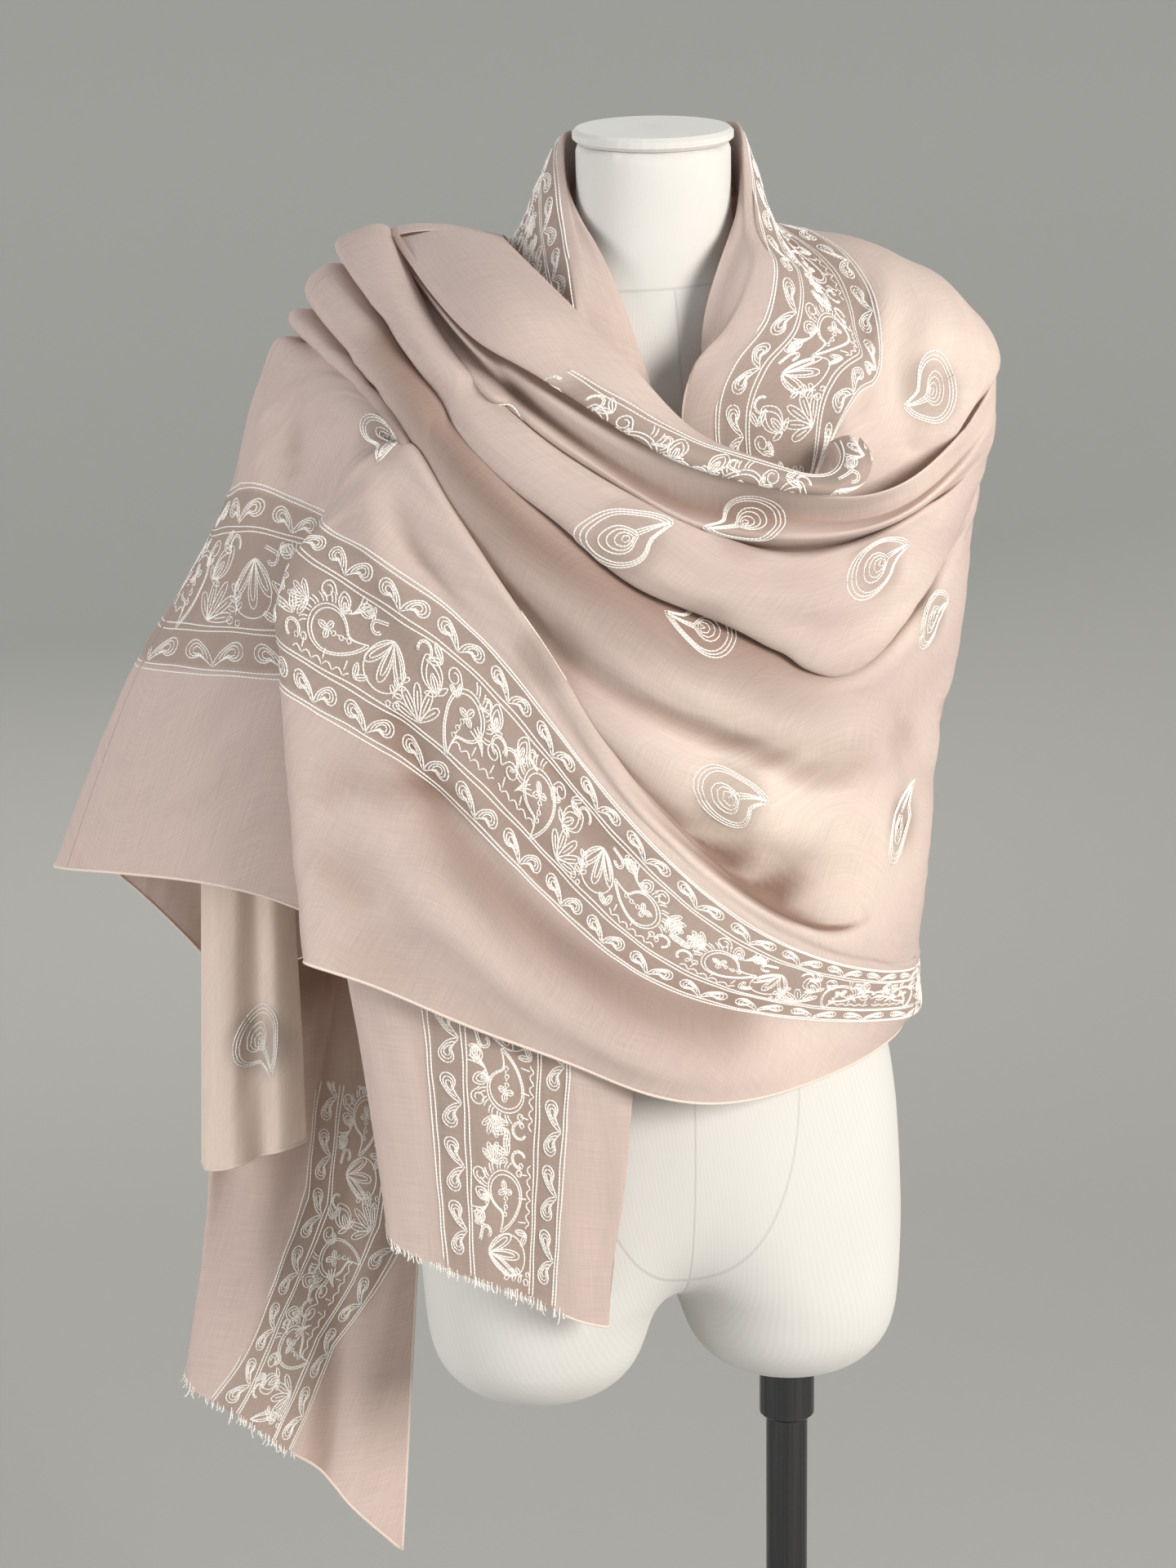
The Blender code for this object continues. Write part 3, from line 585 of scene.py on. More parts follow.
def build_steel(name, roughness):
    """Streaks along the height vary the roughness and the colour."""
    made, tree, shader = add_material(name, STEEL, roughness, Metallic=1.0)
    streaks = stretched_noise(tree, place_of(tree), (420.0, 420.0, 6.0))
    give(tree, shader, {"Roughness": maths(tree, "MULTIPLY_ADD", streaks, 0.22, roughness - 0.08)})
    dark = (0.7 * value for value in STEEL)
    dress(tree, shader, blended(tree, streaks, (*dark, 1.0), (*STEEL, 1.0)))
    return made


def build_floor():
    """Pale, and a little darker where the dish lies flat, since that part catches the light from above:
    the share is how far out a place is, from 2 m to 5.5 m."""
    made, tree, shader = add_material("pale_floor", (0.62, 0.61, 0.58), 0.9)
    level = add_node(tree, "VectorMath", {0: place_of(tree), 1: (1.0, 1.0, 0.0)}, operation="MULTIPLY")
    out = add_node(tree, "VectorMath", {0: level.outputs[0]}, operation="LENGTH")
    share = between_limits(tree, out.outputs["Value"], 2.0, 5.5)
    dress(tree, shader, blended(tree, share, (0.40, 0.395, 0.375, 1.0), (0.60, 0.595, 0.57, 1.0)))
    return made


canvas = build_canvas()
cap_felt = canvas.copy()
cap_felt.name = "cap_felt"
post_steel = build_steel("post_steel", 0.24)
floor_mesh.materials.append(build_floor())
for node_name, finish in (
    ("form_body", canvas), ("neck_cap", cap_felt), ("post", post_steel), ("post_sleeve", post_steel),
    ("base", build_steel("base_steel", 0.52)),
):
    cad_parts[node_name].material_slots[0].material = finish
print("materials:", ", ".join(sorted(made.name for made in bpy.data.materials)))

# %% [markdown]
# ## The form
# The form is two halves, each a stack of ellipses whose centre moves out into its thigh. The two
# closed halves overlap, and Blender's voxel remesher finds their common skin. A few passes of
# averaging then make it as smooth as stretched canvas, most of all between the thighs.

# %% Form sections
# Sections of one half of the form, top to bottom. "thigh" is how far its centre has moved out from
# the middle of the body, which is what parts the two thighs.
FORM_SECTIONS = (
    # height  half width  front  back  thigh
    (1551, 52, 53, 50, 0),
    (1530, 52, 53, 51, 0),
    (1505, 53, 51, 54, 0),
    (1480, 59, 52, 60, 0),
    (1462, 84, 54, 68, 0),
    (1446, 130, 60, 78, 0),
    (1424, 168, 68, 88, 0),
    (1392, 185, 76, 96, 0),
    (1345, 184, 90, 100, 0),
    (1295, 172, 104, 102, 0),
    (1245, 161, 114, 98, 0),
    (1195, 147, 108, 90, 0),
    (1145, 132, 94, 83, 0),
    (1095, 122, 84, 79, 0),
    (1045, 127, 84, 86, 0),
    (995, 144, 88, 100, 2),
    (945, 160, 93, 112, 6),
    (895, 171, 96, 119, 14),
    (845, 176, 96, 119, 30),
    (800, 178, 93, 116, 52),
    (770, 178, 90, 110, 70),
    (748, 177, 88, 104, 84),
    (736, 176, 87, 101, 90),
    (722, 175, 85, 97, 93),
    (704, 172, 81, 91, 94),
    (690, 166, 73, 82, 94),
    (677, 154, 60, 66, 94),
    (669, 138, 43, 46, 94),
    (666, 121, 27, 27, 94),
)
NECK_TOP, NECK_FOOT = 1551.0, 1470.0
CAP_TILT = math.radians(9.0)
VOXEL = 4.5  # mm
FORM_RINGS, FORM_AROUND = 120, 96


def form_half(side):
    """One closed half: at each height x = thigh + (half width - thigh) cos a and y = depth sin a, kept
    just past the middle plane, then turned by the form's turn. The neck is sheared to its cap's tilt."""
    rows = spline(FORM_SECTIONS, FORM_RINGS)
    height, half_width, front, back, thigh = (rows[:, k, None] for k in range(5))
    a = np.linspace(0.0, 2.0 * math.pi, FORM_AROUND, endpoint=False)[None]
    x = side * np.maximum(thigh + (half_width - thigh) * np.cos(a), -1.0)
    y = np.where(np.sin(a) < 0.0, front, back) * np.sin(a)
    c, s = math.cos(FORM_TURN), math.sin(FORM_TURN)
    x, y = x * c - y * s, x * s + y * c
    neck = ramp(height - NECK_FOOT, NECK_TOP - NECK_FOOT)
    return np.stack([x, y, height + neck * math.tan(CAP_TILT) * y], axis=-1).reshape(-1, 3)


def values_of(items, field, width, kind):
    """One field of a mesh's points, corners or edges as an array, so many numbers to each."""
    found = np.empty(len(items) * width, kind)
    items.foreach_get(field, found)
    return found.reshape(-1, width)


def common_skin(halves):
    """Points in mm, quads and edges of the outer skin of several closed shells that overlap, each made
    of the form's rings."""
    quads, top, foot = ring_faces(FORM_RINGS, FORM_AROUND)
    faces = quads.tolist() + [top, foot]
    count = FORM_RINGS * FORM_AROUND
    faces = [[corner + k * count for corner in face] for k in range(len(halves)) for face in faces]
    mesh = bpy.data.meshes.new("form_shells")
    mesh.from_pydata(np.concatenate(halves).tolist(), [], faces)
    shells = link_object("form_shells", mesh)
    remesh = shells.modifiers.new("skin", "REMESH")
    remesh.mode, remesh.voxel_size = "VOXEL", VOXEL
    found = shells.evaluated_get(bpy.context.evaluated_depsgraph_get()).to_mesh()
    skin = values_of(found.vertices, "co", 3, np.float32).astype(float)
    quads = values_of(found.loops, "vertex_index", 1, np.int32).reshape(-1, 4)
    ends = values_of(found.edges, "vertices", 2, np.int32)
    bpy.data.objects.remove(shells)
    return skin, quads, ends


def averaged(points, ends, share, passes):
    """Moves each point its share of the way to the mean of its neighbours, over and over."""
    here, there = np.concatenate([ends, ends[:, ::-1]]).T
    count = np.bincount(here, minlength=len(points))[:, None]
    for _ in range(passes):
        total = [np.bincount(here, points[there, k], len(points)) for k in range(3)]
        points = points + share[:, None] * (np.stack(total, axis=1) / count - points)
    return points


skin, quads, ends = common_skin([form_half(1.0), form_half(-1.0)])
aside = skin[:, 0] * math.cos(FORM_TURN) + skin[:, 1] * math.sin(FORM_TURN)
# 1 near the middle plane and below the waist, 0.15 where the thighs have parted, 0 elsewhere.
between_thighs = np.exp(-((aside / 40.0) ** 2)) * ramp(960.0 - skin[:, 2], 60.0)
between_thighs *= np.maximum(ramp(skin[:, 2] - 745.0, 25.0), 0.15)
skin = averaged(skin, ends, share=0.5 * ramp(1530.0 - skin[:, 2], 40.0), passes=8)
skin = averaged(skin, ends, share=0.9 * between_thighs, passes=90)
cover = add_mesh("form_cover", skin, quads.tolist(), canvas)
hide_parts("form_body")

# %% [markdown]
# ## The wound cloth
# Each fold of the wound part is one line, from the left shoulder across the front to the right side.
# The line then goes on, round the back at one end and over the left shoulder at the other. The plan
# of the wrap at each height is an ellipse; a ridge stands out from it and a trough lies behind it.

# %% Wrap and fold tables
WRAP = (
    # height  front  back  left  right
    (1490, 46, 92, 236, 232),
    (1440, 80, 114, 238, 234),
    (1400, 114, 124, 258, 234),
    (1350, 136, 129, 278, 232),
    (1300, 143, 128, 300, 222),
    (1200, 141, 121, 356, 206),
    (1100, 137, 122, 402, 192),
    (1000, 143, 134, 436, 190),
    (900, 148, 146, 460, 188),
)

FOLD_LINES = (
    # name, out, tuck, (x, z) at eight stations
    ("first_tuck", -2, 0,
        ((-166, 1476), (-120, 1434), (-70, 1405), (-26, 1379),
         (22, 1352), (80, 1322), (160, 1320), (222, 1378))),
    ("first_ridge", 21, 0,
        ((-172, 1480), (-124, 1428), (-76, 1396), (-32, 1370),
         (20, 1350), (80, 1334), (160, 1336), (230, 1390))),
    ("first_crease", 4, 0,
        ((-172, 1474), (-116, 1414), (-72, 1380), (-28, 1348),
         (20, 1324), (80, 1314), (164, 1320), (232, 1376))),
    ("thin_ridge", 15, 0,
        ((-172, 1468), (-120, 1406), (-76, 1374), (-28, 1342),
         (20, 1315), (78, 1304), (164, 1316), (232, 1367))),
    ("second_trough", -8, 0,
        ((-172, 1462), (-126, 1402), (-80, 1367), (-32, 1336),
         (20, 1309), (78, 1292), (164, 1307), (230, 1351))),
    ("second_ridge", 12, 0,
        ((-178, 1484), (-140, 1420), (-88, 1376), (-34, 1340),
         (16, 1315), (80, 1290), (158, 1306), (226, 1336))),
    ("second_face", 15, 0,
        ((-194, 1485), (-156, 1424), (-104, 1364), (-50, 1320),
         (4, 1288), (72, 1266), (152, 1274), (224, 1325))),
    ("second_edge", 8, 0,
        ((-212, 1480), (-165, 1422), (-117, 1356), (-65, 1314),
         (-13, 1272), (64, 1235), (138, 1216), (220, 1317))),
    ("pocket", -12, 0,
        ((-199, 1464), (-160, 1420), (-112, 1360), (-60, 1320),
         (-8, 1277), (68, 1241), (142, 1222), (221, 1311))),
    ("third_ridge", 10, 0,
        ((-215, 1462), (-164, 1402), (-114, 1350), (-64, 1302),
         (-8, 1258), (58, 1223), (136, 1209), (217, 1292))),
    ("third_face", 6, 0,
        ((-227, 1450), (-174, 1397), (-124, 1330), (-72, 1274),
         (-16, 1222), (56, 1188), (138, 1174), (213, 1240))),
    ("belly_valley", -5, 0,
        ((-223, 1438), (-180, 1390), (-132, 1306), (-84, 1246),
         (-24, 1200), (52, 1163), (134, 1142), (208, 1200))),
    ("belly_swell", 1, 0,
        ((-240, 1434), (-180, 1386), (-136, 1305), (-86, 1236),
         (-26, 1172), (50, 1132), (132, 1100), (196, 1144))),
    ("cape_tuck", -10, 0,
        ((-236, 1422), (-184, 1386), (-138, 1304), (-82, 1228),
         (-22, 1142), (52, 1074), (124, 1030), (190, 1058))),
    ("cape_ridge", 7, 0,
        ((-252, 1424), (-200, 1426), (-178, 1390), (-136, 1320),
         (-84, 1240), (-24, 1136), (84, 1036), (182, 982))),
    ("cape", 5, 4,
        ((-270, 1388), (-232, 1388), (-202, 1364), (-152, 1302),
         (-96, 1233), (-27, 1133), (80, 1032), (182, 979))),
    ("border_top", 5, 12,
        ((-292, 1322), (-258, 1332), (-220, 1320), (-168, 1284),
         (-104, 1228), (-30, 1128), (78, 1027), (182, 974))),
    ("border_middle", 4, 20,
        ((-322, 1262), (-276, 1268), (-250, 1266), (-188, 1232),
         (-120, 1180), (-44, 1090), (58, 1006), (181, 956))),
    ("border_foot", 2, 26,
        ((-360, 1200), (-282, 1204), (-250, 1206), (-204, 1178),
         (-136, 1128), (-62, 1050), (38, 986), (180, 938))),
    ("margin", 0, 30,
        ((-392, 1128), (-284, 1132), (-246, 1114), (-202, 1094),
         (-136, 1053), (-60, 998), (44, 950), (176, 934))),
    ("hem", 0, 34,
        ((-420, 1056), (-286, 1058), (-240, 1024), (-198, 1010),
         (-128, 980), (-52, 948), (48, 918), (170, 926))),
)

NECK_SECTIONS = (
    # name, hem, fold, band, under, tuck, crown
    ("left_throat",
     (-5, -86, 1396), (-46, -88, 1414), (-54, -91, 1406), (-64, -92, 1398), (-65, -92, 1395), 0),
    ("left_front",
     (-23, -74, 1450), (-49, -75, 1464), (-60, -75, 1452), (-68, -76, 1441), (-69, -76, 1438), 0),
    ("left_side",
     (-42, -46, 1490), (-57, -28, 1507), (-76, -27, 1482), (-84, -28, 1469), (-86, -28, 1466), 1),
    ("left_top",
     (-56, 2, 1512), (-60, 10, 1552), (-90, 15, 1494), (-106, 22, 1468), (-109, 23, 1466), 2),
    ("left_back",
     (-42, 39, 1526), (-45, 46, 1560), (-74, 68, 1494), (-112, 86, 1446), (-114, 87, 1443), 3),
    ("back",
     (-1, 56, 1532), (-1, 62, 1567), (-4, 86, 1488), (-20, 105, 1424), (-20, 105, 1412), 1),
    ("right_back",
     (40, 41, 1528), (43, 47, 1562), (70, 74, 1495), (132, 92, 1412), (138, 96, 1387), 6),
    ("right_top",
     (57, 2, 1514), (60, 10, 1555), (79, 14, 1497), (227, 10, 1408), (204, 8, 1371), 26),
    ("right_side",
     (46, -48, 1484), (61, -36, 1498), (99, -38, 1467), (216, -52, 1388), (183, -44, 1353), 23),
    ("right_front",
     (33, -72, 1450), (66, -68, 1477), (112, -72, 1444), (190, -69, 1353), (172, -62, 1330), 16),
    ("right_chest",
     (28, -86, 1420), (49, -92, 1439), (127, -94, 1416), (158, -83, 1329), (150, -79, 1312), 9),
    ("right_band",
     (32, -98, 1398), (22, -106, 1410), (118, -108, 1394), (120, -108, 1314), (120, -107, 1311), 5),
    ("right_throat",
     (38, -104, 1372), (13, -112, 1378), (102, -114, 1360), (94, -112, 1306), (93, -111, 1303), 3),
    ("right_foot",
     (44, -107, 1350), (18, -112, 1356), (90, -115, 1330), (74, -112, 1302), (73, -111, 1299), 0),
)

# Sections across the rolled edge, from the left shoulder to the turn at the throat.
ROLL_SECTIONS = (
    # name, top, middle, edge
    ("shoulder", (-100, -4, 1488), (-140, -7, 1495), (-175, -5, 1490)),
    ("collar_bone", (-70, -82, 1462), (-101, -100, 1460), (-130, -98, 1440)),
    ("upper_chest", (-40, -114, 1433), (-66, -132, 1422), (-88, -130, 1413)),
    ("chest", (-12, -134, 1405), (-30, -152, 1392), (-40, -150, 1384)),
    ("breastbone", (20, -146, 1373), (10, -165, 1365), (4, -163, 1358)),
    ("turn_start", (60, -152, 1355), (56, -168, 1349), (52, -166, 1342)),
    ("turn", (98, -150, 1344), (103, -164, 1338), (108, -160, 1333)),
    ("tuck", (112, -140, 1354), (124, -152, 1350), (130, -148, 1346)),
    ("end", (108, -126, 1362), (120, -130, 1366), (124, -130, 1360)),
)

# Vertical folds of the ends that hang. Two hang from an edge of the thrown end, so only their feet
# are listed, from the edge's left to its right.
SIDE_TAIL_FEET = (
    # x, y, z
    (-340, 34, 822),
    (-330, 6, 826),
    (-312, -6, 832),
    (-292, 2, 838),
    (-276, -8, 845),
    (-259, 6, 849),
    (-272, 26, 852),
)
CORNER_TAIL_FEET = (
    (-352, 66, 668),
    (-362, 46, 642),
    (-318, 24, 620),
    (-289, 20, 598),
    (-262, 34, 572),
    (-238, 26, 545),
    (-202, 40, 500),
)
FRONT_TAIL_FOLDS = (
    # top x, y, z, foot x, y, z
    (-213, -94, 1080, -186, -104, 842),
    (-222, -109, 1072, -190, -122, 822),
    (-172, -128, 1068, -156, -130, 806),
    (-124, -137, 1062, -126, -135, 795),
    (-84, -134, 1052, -98, -129, 782),
    (-48, -139, 1042, -72, -132, 769),
    (-12, -132, 1034, -42, -124, 757),
    (-22, -125, 1030, -54, -120, 764),
)

# %% [markdown]
# ## Sheets from the tables
# The same rules as the CAD model's, read twenty points to a station instead of three. Nothing is
# drawn twice: the front, the back and the thrown end are columns of one sheet, so every fold passes
# from one to the next unbroken.

# %% Fold lines
ALONG = 20  # points of a fold line for each of its stations
OVER, THROWN_OVER, NECK_OVER = 9, 7, 12  # rows between two lines of a sheet
SIDE_OVER, CORNER_OVER, FRONT_OVER = 10, 14, 12  # the same in the three hanging ends
SIDE_RUN, CORNER_RUN, FRONT_RUN = 61, 101, 81  # points down each hanging end
FOLD_NAMES = [fold[0] for fold in FOLD_LINES]
THROWN_STATIONS = 5
CREST = ALONG * THROWN_STATIONS  # column at the left shoulder
SIDE = CREST + ALONG * len(FOLD_LINES[0][-1])  # column at the right side


def wrap_at(height, column):
    """One column of the wrap's table, read between its heights."""
    table = np.array(WRAP)[::-1]
    return np.interp(height, table[:, 0], table[:, column])


def wrap_depth(x, z, column):
    """Depth of the wrap's plan at a place: an ellipse through its left, right and front or back."""
    left, right = wrap_at(z, 3), wrap_at(z, 4)
    share = (x - (right - left) / 2.0) / ((right + left) / 2.0)
    return wrap_at(z, column) * math.sqrt(max(0.0, 1.0 - share * share))


def front_stations(out, tuck, places):
    """Points of one fold line, from the left shoulder to the right side. A tuck adds a hidden point
    behind the edge that the cloth makes where it flares off the left arm side."""
    points = [(x, -wrap_depth(x, z, 1) - out, z) for x, z in places]
    points[0] = (places[0][0], 0.0, places[0][1])
    points[-1] = (places[-1][0], 0.0, places[-1][1])
    near, edge = np.array(points[1]), np.array(points[2])
    hidden = (near + edge) / 2.0
    if tuck:
        near += (0.0, 1.2 * tuck, 0.0)
        hidden = edge + (0.9 * tuck, 1.1 * tuck, -0.1 * tuck)
    points[1:2] = [tuple(near), tuple(hidden)]
    return points


def back_stations(out, share, start):
    """Each fold goes on round the back and up to the left of the neck, where all come together."""
    x0, z0 = start
    x1, z1 = -70.0 - 110.0 * share, 1446.0 - 44.0 * share + 0.5 * out
    points = []
    for sideways, climb in ((0.08, 0.06), (0.30, 0.22), (0.58, 0.50), (0.82, 0.80), (1.0, 1.0)):
        x, z = x0 + (x1 - x0) * sideways, z0 + (z1 - z0) * climb
        points.append((x, wrap_depth(x, z, 2) + 0.6 * out, z))
    return points


def thrown_stations(out, share, start):
    """Each fold goes on over the left shoulder, or round the left arm side, and down the back. The
    pleats there are 9 sin(9 pi share), growing with the fall."""
    x0, z0 = start
    x1, z1 = -16.0 - 310.0 * share, 978.0 - 20.0 * share
    y1 = 150.0 - 80.0 * share**1.6
    pleat = 9.0 * math.sin(9.0 * math.pi * share) + 0.3 * out
    points = []
    for sideways, depth, fall in (
        (0.03, 0.45, 0.01),
        (0.16, 0.88, 0.12),
        (0.46, 1.0, 0.42),
        (0.75, 1.0, 0.72),
        (1.0, 1.0, 1.0),
    ):
        x, z = x0 + (x1 - x0) * sideways, z0 + (z1 - z0) * fall
        points.append((x, y1 * depth + pleat * math.sin(math.pi * fall / 2.0), z))
    return points


def through(stations):
    """A spline through stations, with ALONG points to each."""
    return spline(stations, ALONG * (len(stations) - 1) + 1)


def ring_lines():
    """The fold lines whole: up the back, over the shoulder, across the front and round the back."""
    lines = []
    for share, (_, out, tuck, places) in zip(np.linspace(0.0, 1.0, len(FOLD_LINES)), FOLD_LINES):
        thrown = thrown_stations(out, 0.12 + 0.88 * share, places[0])
        front = front_stations(out, tuck, places)
        lines.append(through([*thrown[::-1], *front, *back_stations(out, share, places[-1])]))
    return lines


def columns_of(table, count):
    """The points of a table of named sections, one array for each of its first columns of points."""
    return (np.array([section[k] for section in table], float) for k in range(1, count + 1))


def roll_lines():
    """Rows across the rolled edge, thrown over the shoulder at one end: its hidden margin, top,
    middle and edge, and what turns under it."""
    top, middle, edge = columns_of(ROLL_SECTIONS, 3)
    hidden = (top + (-3.0, 7.0, -8.0), top + (-1.0, 4.0, -3.0))
    lines = []
    for k, row in enumerate((*hidden, top, middle, edge, edge + (3.0, 10.0, 4.0))):
        thrown = thrown_stations(0.0, 0.02 * k, (row[0][0], row[0][2]))
        row[0][1] = 0.0
        lines.append(through([*thrown[::-1], *row]))
    return lines


def neck_lines(samples):
    """Rows from the hem turned in round the neck, over the fold, to where the cloth tucks under."""
    hem, fold, band, under, tuck = columns_of(NECK_SECTIONS, 5)
    crown = np.array([section[6] for section in NECK_SECTIONS], float)[:, None]
    bow = unit(band - (0.0, 0.0, 1380.0))
    rows = (
        hem,
        0.25 * hem + 0.75 * fold,
        fold,
        0.55 * fold + 0.45 * band + 3.0 * bow,
        band,
        0.66 * band + 0.34 * under + 0.8 * crown * bow,
        0.30 * band + 0.70 * under + 0.9 * crown * bow,
        under,
        tuck,
    )
    return [spline(row, samples) for row in rows]


def places_under(line, below, start, stop, count):
    """Points below a line, from one share of its length to another."""
    at = np.linspace(start, stop, count) * (len(line) - 1)
    places = [np.interp(at, np.arange(len(line)), line[:, k]) for k in range(3)]
    return np.stack(places, axis=1) - (0.0, 0.0, below)


def tail_lines(tops, feet, rows):
    """Each fold of a hanging end runs straight down from its top to its foot."""
    fall = np.linspace(0.0, 1.0, rows)[:, None]
    return [top + (foot - top) * fall for top, foot in zip(tops, feet)]


class Sheet:
    """A grid of points with its outward normals, and the lengths along and over it in mm. face is -1
    where the grid's own cross product points inwards."""

    def __init__(self, grid, face=1.0):
        self.face = face
        self.update(grid)

    def update(self, grid):
        self.grid = grid
        self.normals = self.face * sheet_normals(grid)
        self.along = run_length(grid, 1)
        self.over = run_length(grid, 0)

    def push(self, height):
        """Moves every point out along its normal by a height in mm."""
        self.update(self.grid + self.normals * height[..., None])

    def columns(self, start, stop, step=1):
        """Part of the sheet, with the whole sheet's normals."""
        part = Sheet.__new__(Sheet)
        part.face = self.face
        cols = slice(start, stop + 1, step)
        part.grid, part.normals = self.grid[:, cols], self.normals[:, cols]
        part.along = self.along[:, cols] - self.along[:, start : start + 1]
        part.over = self.over[:, cols]
        return part

    def size(self):
        """Greatest length along and over the sheet, and its area, in metres."""
        one = np.diff(self.grid, axis=0)[:, :-1]
        other = np.diff(self.grid, axis=1)[:-1]
        area = np.linalg.norm(np.cross(one, other), axis=-1).sum()
        return self.along[:, -1].max() * MM, self.over[-1].max() * MM, area * MM * MM


# %% [markdown]
# ### Soft folds
# Between the ridges, thin cloth never lies quite even. Two things are added along the sheet's own
# normals: a few named creases where the cloth is pulled or pushed, and long faint wrinkles that run
# with the folds. Where the cloth rounds the left shoulder it is relaxed instead, as a stretched sheet
# would be, by moving each point towards the mean of its neighbours.

# %% Soft folds
RELAXED = (
    # x, z, reach
    (-212, 1408, 40),
    (-214, 1372, 38),
    (-222, 1335, 32),
)
CREASES = (
    # first fold line, last fold line, width, height, stations x and z
    ("belly_swell", "hem", 12, 5, ((-262, 1405), (-268, 1350), (-276, 1290))),
    ("cape", "border_top", 11, -4, ((-238, 1392), (-246, 1340), (-252, 1290))),
    ("cape_ridge", "border_middle", 14, 5, ((-190, 1360), (-184, 1310), (-168, 1262), (-140, 1215))),
    ("cape", "border_top", 9, -4, ((-176, 1352), (-160, 1300), (-128, 1250))),
    ("border_middle", "hem", 15, -6, ((-180, 1190), (-158, 1150), (-130, 1096))),
    ("border_middle", "hem", 13, -0.8, ((-134, 1100), (-82, 1044), (-15, 999), (40, 978))),
    ("border_foot", "hem", 18, 8,
        ((-214, 1130), (-176, 1080), (-128, 1030), (-70, 985), (0, 948), (90, 928))),
    ("margin", "hem", 12, -2, ((-170, 1060), (-120, 1000), (-90, 975))),
    ("belly_valley", "cape_tuck", 22, 5, ((-60, 1205), (0, 1150), (70, 1105), (140, 1085))),
    ("belly_swell", "cape_tuck", 16, -5, ((20, 1120), (80, 1082), (150, 1066))),
    ("belly_swell", "cape_tuck", 10, 4, ((110, 1190), (140, 1120), (150, 1050))),
    ("belly_valley", "cape_tuck", 10, -4, ((150, 1180), (168, 1110), (172, 1040))),
    ("third_face", "belly_valley", 14, 4, ((-110, 1300), (-50, 1240), (20, 1195), (100, 1165))),
    ("second_face", "second_edge", 10, 4, ((-30, 1300), (40, 1268), (110, 1262))),
    ("second_face", "second_edge", 9, -3.5, ((60, 1262), (120, 1240), (180, 1262))),
    ("second_ridge", "second_face", 9, -3.5, ((90, 1290), (150, 1296), (205, 1330))),
    ("third_ridge", "third_face", 9, 4, ((90, 1205), (150, 1215), (200, 1270))),
)
NECK_POINTS = 190  # along the neck stretch
NECK_CREASE_ROWS = 44, 88
NECK_CREASES = (
    # width, height, stations x and z
    (12, -4.5, ((128, 1466), (136, 1432), (134, 1398), (137, 1336))),
    (10, 4.5, ((154, 1474), (147, 1432), (129, 1402), (113, 1370))),
    (11, -3.5, ((163, 1440), (158, 1400), (156, 1346))),
    (11, 3.5, ((182, 1442), (176, 1400), (174, 1352))),
    (12, -4, ((208, 1416), (186, 1388), (162, 1350))),
)


def rows_named(first, second):
    """Rows of the wound sheet at two fold lines."""
    return FOLD_NAMES.index(first) * OVER, FOLD_NAMES.index(second) * OVER


BEHIND = 60.0  # cloth further back than this isn't seen from the front
RELAX_PASSES = 260


def soften(sheet):
    """Relaxes the sheet about a few places, which move towards the mean of their neighbours. The left
    shoulder's own column keeps still, because two stretches of cloth meet there."""
    grid = sheet.grid.copy()
    rows, cols = grid.shape[:2]
    weight = np.zeros((rows, cols))
    for x, z, reach in RELAXED:
        away = (grid[..., 0] - x) ** 2 + (grid[..., 2] - z) ** 2
        weight = np.maximum(weight, np.exp(-((away / reach**2) ** 2)))
    first = rows_named("belly_swell", "hem")[0]
    weight *= ramp(np.arange(rows)[:, None] - first, 8.0) * (grid[..., 1] < BEHIND)
    weight *= ramp(np.arange(cols)[None] - CREST, 8.0)
    inner = 0.85 * weight[1:-1, 1:-1, None]
    for _ in range(RELAX_PASSES):
        mean = (grid[:-2, 1:-1] + grid[2:, 1:-1] + grid[1:-1, :-2] + grid[1:-1, 2:]) / 4.0
        grid[1:-1, 1:-1] += inner * (mean - grid[1:-1, 1:-1])
    moved = np.linalg.norm(grid - sheet.grid, axis=-1).max()
    print("softened by at most", round(float(moved), 1), "mm")
    sheet.update(grid)


def beside(points, way):
    """How far each point lies, as seen from the front, from a line through stations x and z, and the
    share of the line's length at the nearest place on it."""
    way = spline(np.array(way, float), 8 * (len(way) - 1) + 1)
    seen = points[..., [0, 2]]
    nearest = np.full(seen.shape[:-1], np.inf)
    share = np.zeros_like(nearest)
    for k in range(len(way) - 1):
        step = way[k + 1] - way[k]
        t = np.clip(((seen - way[k]) @ step) / (step @ step), 0.0, 1.0)
        away = np.linalg.norm(seen - way[k] - t[..., None] * step, axis=-1)
        share = np.where(away < nearest, (k + t) / (len(way) - 1), share)
        nearest = np.minimum(nearest, away)
    return nearest, share


def crease(sheet, start, stop, width, height, way):
    """height x exp(-(d / width)^2) x sin(pi s) ** 0.6, with d the distance from the crease as seen from
    the front and s the share of its length, between two rows of the sheet."""
    nearest, share = beside(sheet.grid, way)
    row = np.arange(sheet.grid.shape[0])[:, None]
    inside = ramp(row - start + 4, 8.0) * ramp(stop + 4 - row, 8.0) * (sheet.grid[..., 1] < 30.0)
    return height * np.exp(-((nearest / width) ** 2)) * np.sin(math.pi * share) ** 0.6 * inside


PLEATS = (
    # first fold line, last fold line, height at the shoulder
    ("second_trough", "second_edge", 7),
    ("pocket", "belly_valley", 7),
    ("belly_valley", "cape_tuck", 4),
)


